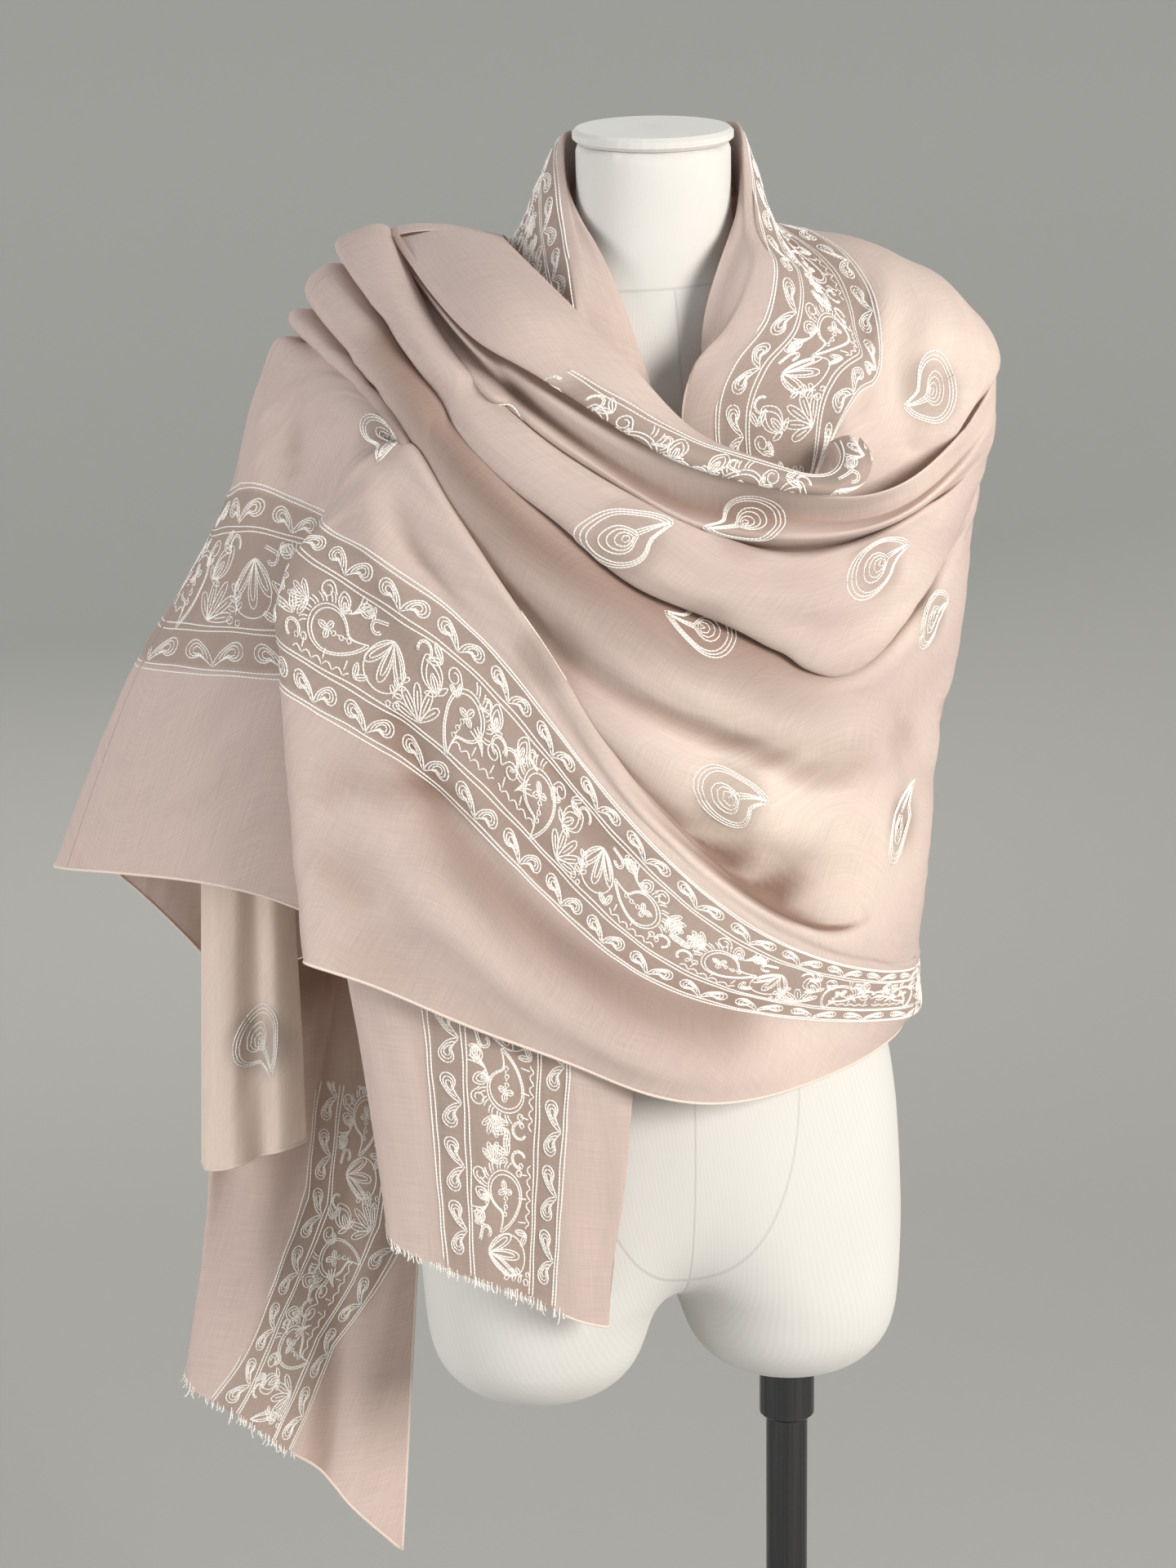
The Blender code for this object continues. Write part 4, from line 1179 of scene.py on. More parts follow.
def plump(sheet, over, lines_before, reach):
    """Rounds the pleats where they lie over the left shoulder. Each bulges by
    height x sin(pi s) x exp(-(columns / reach)^2) between its two fold lines, s being the share of the
    way across it and columns the distance along it from the shoulder's crest."""
    row = np.arange(sheet.grid.shape[0])[:, None]
    column = np.arange(sheet.grid.shape[1])[None] - CREST
    push = np.zeros(sheet.grid.shape[:2])
    for first, last, height in PLEATS:
        start, stop = (over * (FOLD_NAMES.index(name) + lines_before) for name in (first, last))
        s = ramp(row - start, stop - start)
        push += height * np.sin(math.pi * s) * np.exp(-((column / reach) ** 2))
    sheet.push(push)


def wrinkle(sheet, crest=None):
    """Long faint wrinkles: 1.1 sin(over / 8.5 + 2 sin(along / 80)) x sin(along / 120 + over / 70)^2, and
    0.4 of a finer one. They fade out where two stretches meet, at the crest, and at the sheet's rim."""
    over, along = sheet.over, sheet.along
    broad = np.sin(over / 8.5 + 2.0 * np.sin(along / 80.0)) * np.sin(along / 120.0 + over / 70.0) ** 2
    fine = np.sin(over / 3.9 + 1.5 * np.sin(along / 33.0)) * np.sin(along / 47.0 - over / 40.0) ** 2
    push = 1.1 * broad + 0.4 * fine
    if crest is not None:
        push *= 1.0 - np.exp(-(((np.arange(over.shape[1])[None] - crest) / 9.0) ** 2))
    row = np.arange(over.shape[0])[:, None]
    push *= ramp(row, 6.0) * np.maximum(ramp(over.shape[0] - 1 - row, 6.0), 0.3)
    sheet.push(push)


# %% Sheets
fold_lines = ring_lines()
edge_lines = roll_lines()
ring = Sheet(across(fold_lines, OVER))
roll = Sheet(across(edge_lines, OVER))
neck = Sheet(across(neck_lines(NECK_POINTS), NECK_OVER), face=-1.0)
# The thrown end hangs from the rolled edge's top, middle and edge lines, and from every fold line.
EDGE_LINES = 3
thrown_lines = [line[: CREST + 2] for line in edge_lines[2 : 2 + EDGE_LINES] + fold_lines]
thrown = Sheet(across(thrown_lines, THROWN_OVER))
soften(ring)
plump(ring, OVER, lines_before=0, reach=52.0)
plump(thrown, THROWN_OVER, lines_before=EDGE_LINES, reach=26.0)
ring.push(sum(crease(ring, *rows_named(*row[:2]), *row[2:]) for row in CREASES))
neck.push(sum(crease(neck, *NECK_CREASE_ROWS, *row) for row in NECK_CREASES))
wrinkle(ring, CREST)
wrinkle(thrown, CREST)
wrinkle(neck)
for title, sheet in (("ring", ring), ("roll", roll), ("neck", neck), ("thrown", thrown)):
    print(title, sheet.grid.shape[:2], "points,", np.round(sheet.size(), 2), "m")

# %% Border bands
BORDER = 110  # mm from one edge of the border to the other
BORDER_MEASURE = 30  # its length is measured this far below its upper edge
OFF_SHEET = 9.0  # rows past the last one, for places that run off the sheet


class Band:
    """Where the border lies on a sheet: row_at is the sheet's row at every mm of the border's width, for
    each column. top and foot are the rows of its two edges, one number for each column. With no foot,
    the border is as wide as the given width, measured on the cloth."""

    def __init__(self, sheet, top, foot=None, width=BORDER):
        self.sheet = sheet
        rows, cols = sheet.grid.shape[:2]
        share = np.linspace(0.0, 1.0, BORDER + 1)
        top = np.broadcast_to(np.asarray(top, float), (cols,))
        if foot is None:
            every = np.arange(rows)
            found = []
            for start, run in zip(top, sheet.over.T):
                down = np.interp(start, every, run) + share * width
                found.append(np.interp(down, run, every, right=rows + OFF_SHEET))
            self.row_at = np.stack(found, axis=1)
        else:
            self.row_at = top[None] + (np.asarray(foot, float) - top) * share[:, None]
        middle = np.clip(self.row_at[BORDER_MEASURE], 0.0, rows - 1.0)
        line = sample(sheet.grid, middle, np.arange(cols, dtype=float))
        self.run = run_length(line[None], 1)[0]

    def columns(self, start, stop, step=1):
        """The band on part of its sheet."""
        part = Band.__new__(Band)
        part.row_at = self.row_at[:, start : stop + 1 : step]
        return part

    def place(self, flat):
        """(mm along, mm below the top edge) become (row, column) of the sheet."""
        col = np.interp(flat[:, 0], self.run, np.arange(len(self.run)))
        row = sample(self.row_at, flat[:, 1], col)
        return np.stack([row, col], axis=1)


# %% Cloth pieces
CLOTH = 0.8  # thickness of the visible wall
SEAM = 0.4  # gap between two stretches of one sheet


def hollow(sheet, window_rows, window_cols, depth):
    """Share from 0 to 1 of how far each point lies behind the smoothed sheet: the depth of a fold,
    over the depth at which the mask is full."""
    smooth = sheet.grid.copy()
    for axis, window in ((0, window_rows), (1, window_cols)):
        pad = [(0, 0)] * 3
        pad[axis] = (window, window)
        padded = np.cumsum(np.pad(smooth, pad, mode="edge"), axis=axis)
        count = smooth.shape[axis]
        after = np.take(padded, np.arange(2 * window, 2 * window + count), axis=axis)
        before = np.take(padded, np.arange(count), axis=axis)
        smooth = (after - before) / (2.0 * window)
    behind = ((smooth - sheet.grid) * sheet.normals).sum(axis=-1)
    return ramp(behind, depth)


def patch(points, places):
    """Largest of several soft spots, exp(-(distance / reach)^2), each at an x and z in mm."""
    found = np.zeros(points.shape[:-1])
    for x, z, reach, strength in places:
        away = (points[..., 0] - x) ** 2 + (points[..., 2] - z) ** 2
        near = strength * np.exp(-away / reach**2)
        found = np.maximum(found, near * (points[..., 1] < BEHIND))
    return found


# Spots of painted light, where light comes back through the cloth from the pale form behind it.
WARM_SPOTS = (
    # x, z, reach, strength
    (175.0, 1405.0, 75.0, 0.75),
    (120.0, 1440.0, 40.0, 0.5),
    (170.0, 1335.0, 34.0, 0.8),
    (165.0, 1255.0, 40.0, 0.75),
    (60.0, 1120.0, 84.0, 1.0),
    (125.0, 1070.0, 60.0, 1.0),
    (30.0, 1180.0, 50.0, 0.8),
    (100.0, 957.0, 48.0, 0.6),
    (205.0, 1140.0, 40.0, 0.5),
    (-20.0, 1400.0, 40.0, 0.4),
)
# Streaks of painted shade along the dark undersides of folds, as x and z in mm.
BROWN_STREAK = ((-177, 1426), (-132, 1364), (-91, 1314), (-39, 1281), (38, 1241), (90, 1228))
CAPE_EDGE_STREAK = ((-196, 1376), (-140, 1296), (-84, 1222))
CAPE_VALLEY_STREAK = ((-158, 1150), (-134, 1100), (-82, 1044), (-15, 999), (40, 978))

STREAKS = (
    # first fold line, last fold line, way, width at its start, strength
    ("second_edge", "cape_ridge", BROWN_STREAK, 15.0, 0.78),
    ("second_edge", "cape_ridge", CAPE_EDGE_STREAK, 20.0, 0.55),
    ("border_middle", "hem", CAPE_VALLEY_STREAK, 13.0, 0.62),
)


# Painted shade inside the folds, from how far each point lies behind the smoothed sheet.
FOLD_DEPTHS = (
    # rows and columns smoothed over, depth in mm at which the mask is full, its share
    (8, 6, 7.0, 0.65),
    (20, 14, 18.0, 0.75),
)


def worked_part(sheet, band):
    """1 between the two edges of a border band, 0 outside it, over one row at each edge."""
    row = np.arange(sheet.grid.shape[0])[:, None]
    top, foot = band.row_at[0][None], band.row_at[-1][None]
    return np.clip(row - top, 0.0, 1.0) * np.clip(foot - row, 0.0, 1.0)


def cloth_piece(name, part, node_name, worked_shade):
    """A stretch of the shawl as a closed wall, with its masks of painted light, painted shade and
    embroidery, standing for its CAD solid.
    """
    deep = sum(share * hollow(part, rows, cols, depth) for rows, cols, depth, share in FOLD_DEPTHS)
    deep = np.clip(deep, 0.0, 1.0)
    # Streaks of painted shade under the front's folds.
    if name == "shawl_front":
        row = np.arange(part.grid.shape[0])[:, None]
        for first, last, way, width, strength in STREAKS:
            start, stop = rows_named(first, last)
            inside = ramp(row - start, 5.0) * ramp(stop - 2 - row, 5.0)
            nearest, share = beside(part.grid, way)
            streak = strength * np.exp(-((nearest / (width * (1.0 + share))) ** 2))
            deep = np.maximum(deep, streak * inside)
    # The corner tail's top gets painted shade.
    if name == "shawl_corner_tail":  # its top hangs in the dark behind the side tail
        deep = np.maximum(deep, 0.9 * ramp(part.grid[..., 2] - 880.0, 60.0))
    warm = patch(part.grid, WARM_SPOTS)
    # The side tail gets painted light all over, and no painted shade.
    if name == "shawl_side_tail":  # one layer, with the light behind it
        warm, deep = np.maximum(warm, 0.85), np.zeros_like(deep)
    masks = {"warm": warm * (1.0 - 0.6 * worked_shade), "deep": deep, "worked_shade": worked_shade}
    piece = closed_wall(name, part.grid, part.normals * part.face, CLOTH, voile, masks)
    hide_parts(node_name)
    return piece


def held_back(part, left=True, right=True):
    """Moves the end columns half a seam inwards, so that two stretches of one sheet don't touch."""
    part.grid = part.grid.copy()
    for end, inner, wanted in ((0, 1, left), (-1, -2, right)):
        if wanted:
            part.grid[:, end] += unit(part.grid[:, inner] - part.grid[:, end]) * SEAM / 2.0
    return part


front = held_back(ring.columns(CREST, SIDE))
BACK_STEP = 2  # the back takes every other column
last_column = ring.grid.shape[1] - 1
back = held_back(ring.columns(SIDE, last_column, BACK_STEP))
roll_part = held_back(roll.columns(CREST, roll.grid.shape[1] - 1), right=False)
thrown_part = held_back(thrown.columns(0, CREST), left=False)
side_tops = places_under(
    thrown.grid[:, CREST], below=5.0, start=0.86, stop=0.74, count=len(SIDE_TAIL_FEET)
)
corner_tops = places_under(
    thrown.grid[:, 0], below=1.1, start=1.0, stop=0.5, count=len(CORNER_TAIL_FEET)
)
front_tops, front_feet = np.hsplit(np.array(FRONT_TAIL_FOLDS, float), 2)
side_tail, corner_tail, front_tail = (
    Sheet(across(tail_lines(tops, np.array(feet, float), points), steps), face=-1.0)
    for tops, feet, points, steps in (
        (side_tops, SIDE_TAIL_FEET, SIDE_RUN, SIDE_OVER),
        (corner_tops, CORNER_TAIL_FEET, CORNER_RUN, CORNER_OVER),
        (front_tops, front_feet, FRONT_RUN, FRONT_OVER),
    )
)
for tail in (side_tail, corner_tail, front_tail):
    wrinkle(tail)

# %% Where the borders lie
ring_band = Band(ring, *rows_named("border_top", "border_foot"))
thrown_band = Band(
    thrown_part,
    *(THROWN_OVER * (EDGE_LINES + FOLD_NAMES.index(name)) for name in ("border_top", "border_foot")),
)
# How far the border's upper line lies in from the fold, in mm, along the neck stretch.
NECK_LINE_IN = (6.0, 6.0, 5.0, 5.0, 5.0, 5.0, 5.0, 5.0, 6.0, 10.0, 18.0, 22.0, 22.0, 22.0)
NECK_FOLD_ROW = 2 * NECK_OVER
NECK_WIDTH = 88.0  # mm; the border is drawn in a little there
ROLL_LINE_SHARE = (0.80, 0.74, 0.55, 0.40, 0.24, 0.12, 0.05, 0.0, 0.0)
ROLL_BARE = 46  # columns of the roll where its border is turned under


def spread(values, count):
    """A short table of values read evenly at so many places."""
    return np.interp(np.linspace(0.0, len(values) - 1.0, count), np.arange(len(values)), values)


line_in = spread(NECK_LINE_IN, neck.grid.shape[1])
neck_rows = np.arange(neck.grid.shape[0])
neck_top = [
    np.interp(run[NECK_FOLD_ROW] + inset, run, neck_rows) for run, inset in zip(neck.over.T, line_in)
]
neck_band = Band(neck, neck_top, width=NECK_WIDTH)
roll_top = 2 * OVER + 2 * OVER * spread(ROLL_LINE_SHARE, roll_part.grid.shape[1])
roll_band = Band(roll_part, roll_top)
front_tail_band = Band(front_tail, FRONT_OVER * 2.1, FRONT_OVER * 4.75)
CORNER_BAND = (
    # share of the fall, row of its left edge, row of its right edge
    (0.00, 3.4, 5.9),
    (0.30, 3.0, 5.9),
    (0.50, 3.0, 5.7),
    (0.62, 2.6, 5.1),
    (0.76, 2.2, 4.1),
    (1.00, 1.5, 3.2),
)
corner_share = np.linspace(0.0, 1.0, corner_tail.grid.shape[1])
corner_table = np.array(CORNER_BAND)
corner_edges = (np.interp(corner_share, corner_table[:, 0], corner_table[:, k]) for k in (1, 2))
corner_band = Band(corner_tail, *(CORNER_OVER * edge for edge in corner_edges))
print("border along the wound part:", round(float(ring_band.run[-1])), "mm")

# %% The shawl
STRETCHES = (
    # piece, sheet, CAD node, border
    ("shawl_front", front, "front_stretch", ring_band.columns(CREST, SIDE)),
    ("shawl_back", back, "back_stretch", ring_band.columns(SIDE, last_column, BACK_STEP)),
    ("shawl_thrown", thrown_part, "thrown_stretch", thrown_band),
    ("shawl_roll", roll_part, "edge_roll", roll_band),
    ("shawl_neck", neck, "neck_stretch", neck_band),
    ("shawl_side_tail", side_tail, "side_tail", None),
    ("shawl_corner_tail", corner_tail, "corner_tail", corner_band),
    ("shawl_front_tail", front_tail, "front_tail", front_tail_band),
)
for name, sheet, node, band in STRETCHES:
    worked_shade = worked_part(sheet, band) if band else np.zeros(sheet.grid.shape[:2])
    if name == "shawl_roll":
        worked_shade *= ramp(np.arange(sheet.grid.shape[1])[None] - ROLL_BARE, 6.0)
    sheet.piece, sheet.sewn = cloth_piece(name, sheet, node, worked_shade), []

# %% [markdown]
# ## Embroidery
# A border runs along both long edges of the cloth, a hand's width in from the hem. Between two double
# lines it has a band of comma pairs, a wide band of drops, flowers, leaves and scrolls, and a second
# band of pairs. Single paisleys stand in the field. Every motif is a set of paths in the flat cloth's
# own millimetres, worked out from a formula, which is what lets it follow any fold.

# %% Motifs
def pairs(x, y):
    """A path from its x and its y, either of which may be one number."""
    return np.stack(np.broadcast_arrays(x, y), axis=1)


def turned(path, degrees):
    """A path turned about its root: positive from along the border towards its upper edge."""
    angle = math.radians(-degrees)
    c, s = math.cos(angle), math.sin(angle)
    x, y = path.T
    return pairs(x * c - y * s, x * s + y * c)


def fanned(leans, shape, *sizes):
    """The paths of one shape at several leans about its root."""
    return [turned(path, lean) for lean in leans for path in shape(*sizes)]


def arc(radius, start, stop, count, x=0.0, y=0.0):
    """Part of a circle about (x, y), from one angle to another, in half turns."""
    a = np.linspace(start * math.pi, stop * math.pi, count)
    return pairs(x + radius * np.cos(a), y + radius * np.sin(a))


def drop(length, width, fullness, count=40):
    """A drop with its tip at the root: an ellipse, x = L (1 - cos a) / 2 and y = W sin(a) / 2, pinched
    by sin(a/2) to the power of its fullness."""
    a = np.linspace(0.0, 2.0 * math.pi, count)
    x = length * np.sin(a / 2.0) ** 2
    y = 0.5 * width * np.sin(a) * np.abs(np.sin(a / 2.0)) ** fullness
    return pairs(x, y)


def nested(length, width, shares):
    """Drops inside one another that share their tip: each is a share less wide, and 0.3 of that share
    less long."""
    return [drop(length * (1.0 - 0.30 * share), width * (1.0 - share), 0.8, 24) for share in shares]


def leaf(length, width, veined=True):
    """A leaf pointed at both ends, y = W sin(pi x / L)^0.8 / 2 to each side, and its middle vein."""
    x = np.linspace(0.0, length, 14)
    y = width / 2.0 * np.abs(np.sin(math.pi * x / length)) ** 0.8
    outline = np.concatenate([pairs(x, y), pairs(x, -y)[-2::-1]])
    vein = np.array([[0.1 * length, 0.0], [0.85 * length, 0.0]])
    return [outline, vein] if veined else [outline]


def leaf_pair(length):
    """Two leaves that spread from one root."""
    return fanned((32.0, -32.0), leaf, length, 0.36 * length)


def circle_pair(radius):
    """Two beads side by side."""
    return [arc(radius, 0.0, 2.0, 14), arc(0.8 * radius, 0.0, 2.0, 14, 2.4 * radius, 0.6 * radius)]


def flower(size):
    """Three petals about a root, each a leaf with its vein, the side ones turned back."""
    side = fanned((105.0, -105.0), leaf, size * 0.85, size * 0.52)
    return fanned((0.0,), leaf, size, size * 0.52) + side


def scroll(length):
    """A scroll: a tail that winds into a spiral whose radius shrinks evenly, like a fern's head."""
    a = np.linspace(-0.35 * math.pi, 2.2 * math.pi, 36)
    radius = length * (0.36 - 0.20 * np.clip(a, 0.0, None) / a[-1])
    spiral = pairs(radius * np.sin(a) + 0.5 * length, -radius * np.cos(a) + 0.3 * length)
    lead = np.array([[0.0, 0.42], [0.08, 0.30]]) * length
    return [np.concatenate([lead, spiral])]


def hook(length):
    """Two strokes side by side that bend over into a hook: part of a circle, on a stem."""
    paths = []
    for gap in (0.0, 0.16 * length):
        bow = arc(0.30 * length - 0.6 * gap, -0.5, 0.75, 18, 0.62 * length)
        stem = np.array([[0.0, -0.22 * length + 0.6 * gap]])
        paths.append(np.concatenate([stem, bow]))
    return paths


def spray(length):
    """A bent stem with three pairs of leaves, each leaning out from the stem towards its end."""
    x = np.linspace(0.0, length * 0.7, 12)
    stem = pairs(x, 0.12 * length * np.sin(math.pi * x / length))
    paths = [stem]
    for place, lean in ((2, 58.0), (6, 46.0), (11, 22.0)):
        leaves = fanned((lean, -lean), leaf, 0.36 * length, 0.15 * length, False)
        paths += [path + stem[place] for path in leaves]
    return paths


def feather(length):
    """Four strokes from one root, each shorter and more bent than the last: for t from 0 to 1,
    x = size x L x t and y = bend x L x t^2."""
    x = np.linspace(0.0, 1.0, 14)
    strokes = ((1.0, 0.10), (0.94, 0.26), (0.84, 0.42), (0.70, 0.58))
    return [length * pairs(size * x, bend * x**2) for size, bend in strokes]


def tulip(length):
    """Three nested drops fanned from one root, inside a shared outline."""
    paths = [drop(1.04 * length, length, 0.35)]
    for lean, size in ((33.0, 0.80), (0.0, 0.88), (-33.0, 0.80)):
        paths += fanned((lean,), nested, size * length, 0.27 * length, (0.0, 0.5))
    return paths


def bud(length):
    """A pointed bud: three leaf outlines inside one another, and two short bracts at its foot."""
    paths = leaf(length, 0.66 * length, False) + leaf(0.80 * length, 0.42 * length, False)
    paths += leaf(0.56 * length, 0.20 * length)
    return paths + fanned((74.0, -74.0), leaf, 0.42 * length, 0.14 * length, False)


def paisley(radius, reach, sizes, side=1.0, bend=0.0, count=60):
    """Outlines of a paisley about the middle of its round head, its tip along x at reach x radius.
    r = R (1 + (reach - 1) exp(-(|a| / w)^1.4)), where a is the angle from the tip and w is 0.41 on the
    full side and 0.16 on the hollow one. The tip bends by bend x R x (x / R - 0.6)^2 to the hollow side,
    and each size shrinks the outline about a point on the way to the tip."""
    u = np.linspace(-1.0, 1.0, count)
    a = math.pi * np.sign(u) * np.abs(u) ** 1.8
    width = np.where(a * side > 0.0, 0.16, 0.41)
    r = radius * (1.0 + (reach - 1.0) * np.exp(-np.abs(a / width) ** 1.4))
    x, y = r * np.cos(a), r * np.sin(a)
    y = y + side * bend * radius * np.clip(x / radius - 0.6, 0.0, None) ** 2
    outline = pairs(x, y)
    middle = np.array([0.65 * radius, 0.0])
    return [middle + size * (outline - middle) for size in sizes]


def field_paisley(length, side):
    """The single paisley of the field: three outlines round a close-worked core of four, and a stem of
    three strokes that thickens its tip."""
    radius = length / 2.75
    outlines = paisley(radius, 1.86, (1.0, 0.905, 0.81), side, 0.12)
    core = paisley(0.48 * radius, 1.35, (1.0, 0.74, 0.48, 0.24), side, 0.1)
    x = np.linspace(0.65, 1.75, 8)
    stem = [
        radius * pairs(x, side * (0.12 * (x - 0.6) ** 2 - lift * (1.9 - x)))
        for lift in (-0.02, 0.05, 0.12)
    ]
    return outlines + [path + (0.10 * radius, 0.0) for path in core] + stem


def egg(length):
    """A large double-lined paisley. It holds a flower and a string of beads, and a fan of strokes
    stands on its head."""
    radius = length / 3.0
    paths = paisley(radius, 2.0, (1.0, 0.88), 1.0, 0.35)
    paths += [turned(path, 180.0) * 0.95 - (0.02 * radius, 0.0) for path in flower(0.56 * radius)]
    for x, y in ((0.34, 0.02), (0.74, 0.10), (1.10, 0.22)):
        paths.append(arc(0.115 * radius, 0.0, 2.0, 14, x * radius, y * radius))
        paths.append(np.array([[x - 0.25, y - 0.03], [x - 0.12, y]]) * radius)
    bow = np.linspace(0.0, 1.0, 8)
    stroke = radius * pairs(1.08 + 0.42 * bow, 0.22 * bow**2)
    for lean in np.arange(-70.0, 20.0, 22.0):
        paths += [turned(stroke, 180.0 - lean), turned(stroke, 188.0 - lean)]
    return [pairs(2.0 * radius - path[:, 0], -path[:, 1]) for path in paths]  # measured from the tip


def curl(length):
    """An open C of two lines that closes to a bead at one end."""
    a = np.linspace(-0.75 * math.pi, 0.70 * math.pi, 22)
    shrink = length * (1.0 - 0.28 * ramp(a, math.pi))
    return [
        pairs(0.5 * length + radius * shrink * np.cos(a), radius * shrink * np.sin(a))
        for radius in (0.42, 0.34)
    ]


def fan(length):
    """Five slender petals that spread from one root, each an outline and a vein."""
    paths = []
    for lean, size in ((-56.0, 0.78), (-28.0, 0.94), (0.0, 1.0), (28.0, 0.94), (56.0, 0.78)):
        vein = np.array([[0.3, 0.0], [0.8, 0.0]]) * size * length
        petal = drop(size * length, 0.27 * length, 0.8, 24)
        paths += [turned(path, lean) for path in (petal, vein)]
    return paths


def skirt(length):
    """A scalloped line, y = h (1 - |cos(pi x / pitch)|) / 2, under short slanting strokes."""
    height, pitch = 8.0, 8.5
    x = np.linspace(0.0, length, max(10, int(length / 0.9)))
    scallops = pairs(x, 0.5 * height * (1.0 - np.abs(np.cos(math.pi * x / pitch))))
    starts = np.arange(0.5 * pitch, length - 2.0, 2.0 * pitch)
    return [scallops] + [np.array([[start, 0.0], [start - 0.8, -0.9 * height]]) for start in starts]


BORDER_LINES = (0.0, 3.2, 24.8, 28.0, 82.0, 85.2, 106.8, 110.0)  # mm below the border's upper edge
CENTRE_TOP = 29.0  # mm below the border's upper edge
CENTRE_MOTIFS = (
    # shape, along the border, below the centre's top, length, turn
    (egg, 50, 51, 46, 118),
    (bud, 12, 17, 17, 80),
    (curl, 0, 30, 18, 50),
    (skirt, 2, 43, 38, 0),
    (scroll, 0, 24, 17, 0),
    (feather, 16, 38, 18, 70),
    (bud, 60, 26, 24, 52),
    (fan, 66, 50, 25, 66),
    (scroll, 44, 4, 15, 0),
    (curl, 78, 14, 15, 100),
    (tulip, 98, 13, 33, -84),
    (hook, 104, 8, 15, -20),
    (egg, 116, 34, 44, 12),
    (bud, 136, 14, 13, 62),
    (feather, 133, 13, 17, 150),
    (fan, 163, 18, 16, -10),
    (skirt, 122, 47, 46, 0),
    (leaf_pair, 171, 30, 14, 40),
    (circle_pair, 84, 49, 2.4, 0),
    (scroll, 146, 1, 15, -8),
    (leaf_pair, 62, 6, 12, 10),
    (curl, 166, 47, 16, 60),
    (bud, 116, 5, 13, -6),
    (hook, 30, 10, 13, 160),
    (spray, 88, 46, 19, 108),
    (leaf_pair, 118, 48, 11, 120),
    (circle_pair, 160, 40, 2.4, 0),
    (leaf_pair, 46, 18, 9, 60),
)
CENTRE_REPEAT = 180.0  # mm; every other repeat is mirrored
PAIR_REPEAT = 46.0


def comma_pairs(length, foot):
    """Pairs of commas whose tips meet on a line, foot mm below the border's upper edge. The heads stand
    14 mm to either side and 9 mm above that point, and the hollow sides face the line."""
    comma = paisley(5.4, 3.0, (1.0, 0.70, 0.42), 1.0, 0.16, 40)
    return [
        turned(path * (-way, 1.0), 17.0 * way) + (start + 14.0 * way, foot - 9.4)
        for start in np.arange(22.0, length - 20.0, PAIR_REPEAT)
        for way in (1.0, -1.0)
        for path in comma
    ]


def border(length):
    """The whole border as paths of (mm along it, mm below its upper edge)."""
    along = np.arange(0.0, length, 4.0)
    paths = []
    for below in BORDER_LINES:
        wander = 0.35 * np.sin(along / 17.0 + below) + 0.25 * np.sin(along / 6.1 + 2.0 * below)
        paths.append(pairs(along, below + wander))
    paths += comma_pairs(length, 23.2) + comma_pairs(length, 105.2)
    for repeat in range(int(length / CENTRE_REPEAT) + 1):
        for shape, place, below, size, degrees in CENTRE_MOTIFS:
            for path in shape(size):
                placed = turned(path, degrees) + (place, below)
                if repeat % 2:
                    placed[:, 0] = CENTRE_REPEAT - placed[:, 0]
                inside = placed + (repeat * CENTRE_REPEAT, CENTRE_TOP)
                if inside[:, 0].max() < length:
                    paths.append(inside)
    return paths


# %% Thread on cloth
THREAD_WIDTH = 1.3  # mm
THREAD_STEP = 2.2  # mm between a thread's points
THREAD_SUNK = 0.1  # how far a thread's underside lies in the cloth
THREAD_PROFILE = ((0.5, 0.0), (0.0, 0.52), (-0.5, 0.0))


def evenly(path, step):
    """The path's points again at equal steps along it, as near to the given step as fits."""
    run = np.concatenate([[0.0], np.cumsum(np.linalg.norm(np.diff(path, axis=0), axis=1))])
    count = max(3, int(round(run[-1] / step)) + 1)
    at = np.linspace(0.0, run[-1], count)
    return pairs(*(np.interp(at, run, values) for values in path.T))


def joined(paths, step=THREAD_STEP):
    """All the paths' points in one array, and the number of the path that each belongs to."""
    even = [evenly(path, step) for path in paths]
    return np.concatenate(even), np.repeat(np.arange(len(even)), [len(path) for path in even])


def paisley_places(sheet, row, col, size, way):
    """A field paisley about a point of a sheet, its tip pointing the given way as seen from the front
    or back. Its x and y are measured along and over the cloth from there, by the sheet's lengths."""
    paths = []
    rows, cols = np.arange(sheet.grid.shape[0]), np.arange(sheet.grid.shape[1])
    along = unit(sheet.grid[row, col + 1] - sheet.grid[row, col - 1])
    over = unit(sheet.grid[row + 1, col] - sheet.grid[row - 1, col])
    seen = np.array([[along[0], over[0]], [along[2], over[2]]])
    right, down = np.linalg.solve(seen, [math.cos(math.radians(way)), math.sin(math.radians(way))])
    degrees = math.degrees(math.atan2(-down, right))
    side = -float(np.sign(np.linalg.det(seen)))
    off = {"left": -OFF_SHEET, "right": max(sheet.grid.shape) + OFF_SHEET}
    for path in field_paisley(size, side):
        x, y = turned(path - (0.12 * size, 0.0), degrees).T
        to_col = np.interp(x + sheet.along[row, col], sheet.along[row], cols, **off)
        to_row = np.interp(y + sheet.over[row, col], sheet.over[:, col], rows, **off)
        paths.append(pairs(to_row, to_col))
    return paths


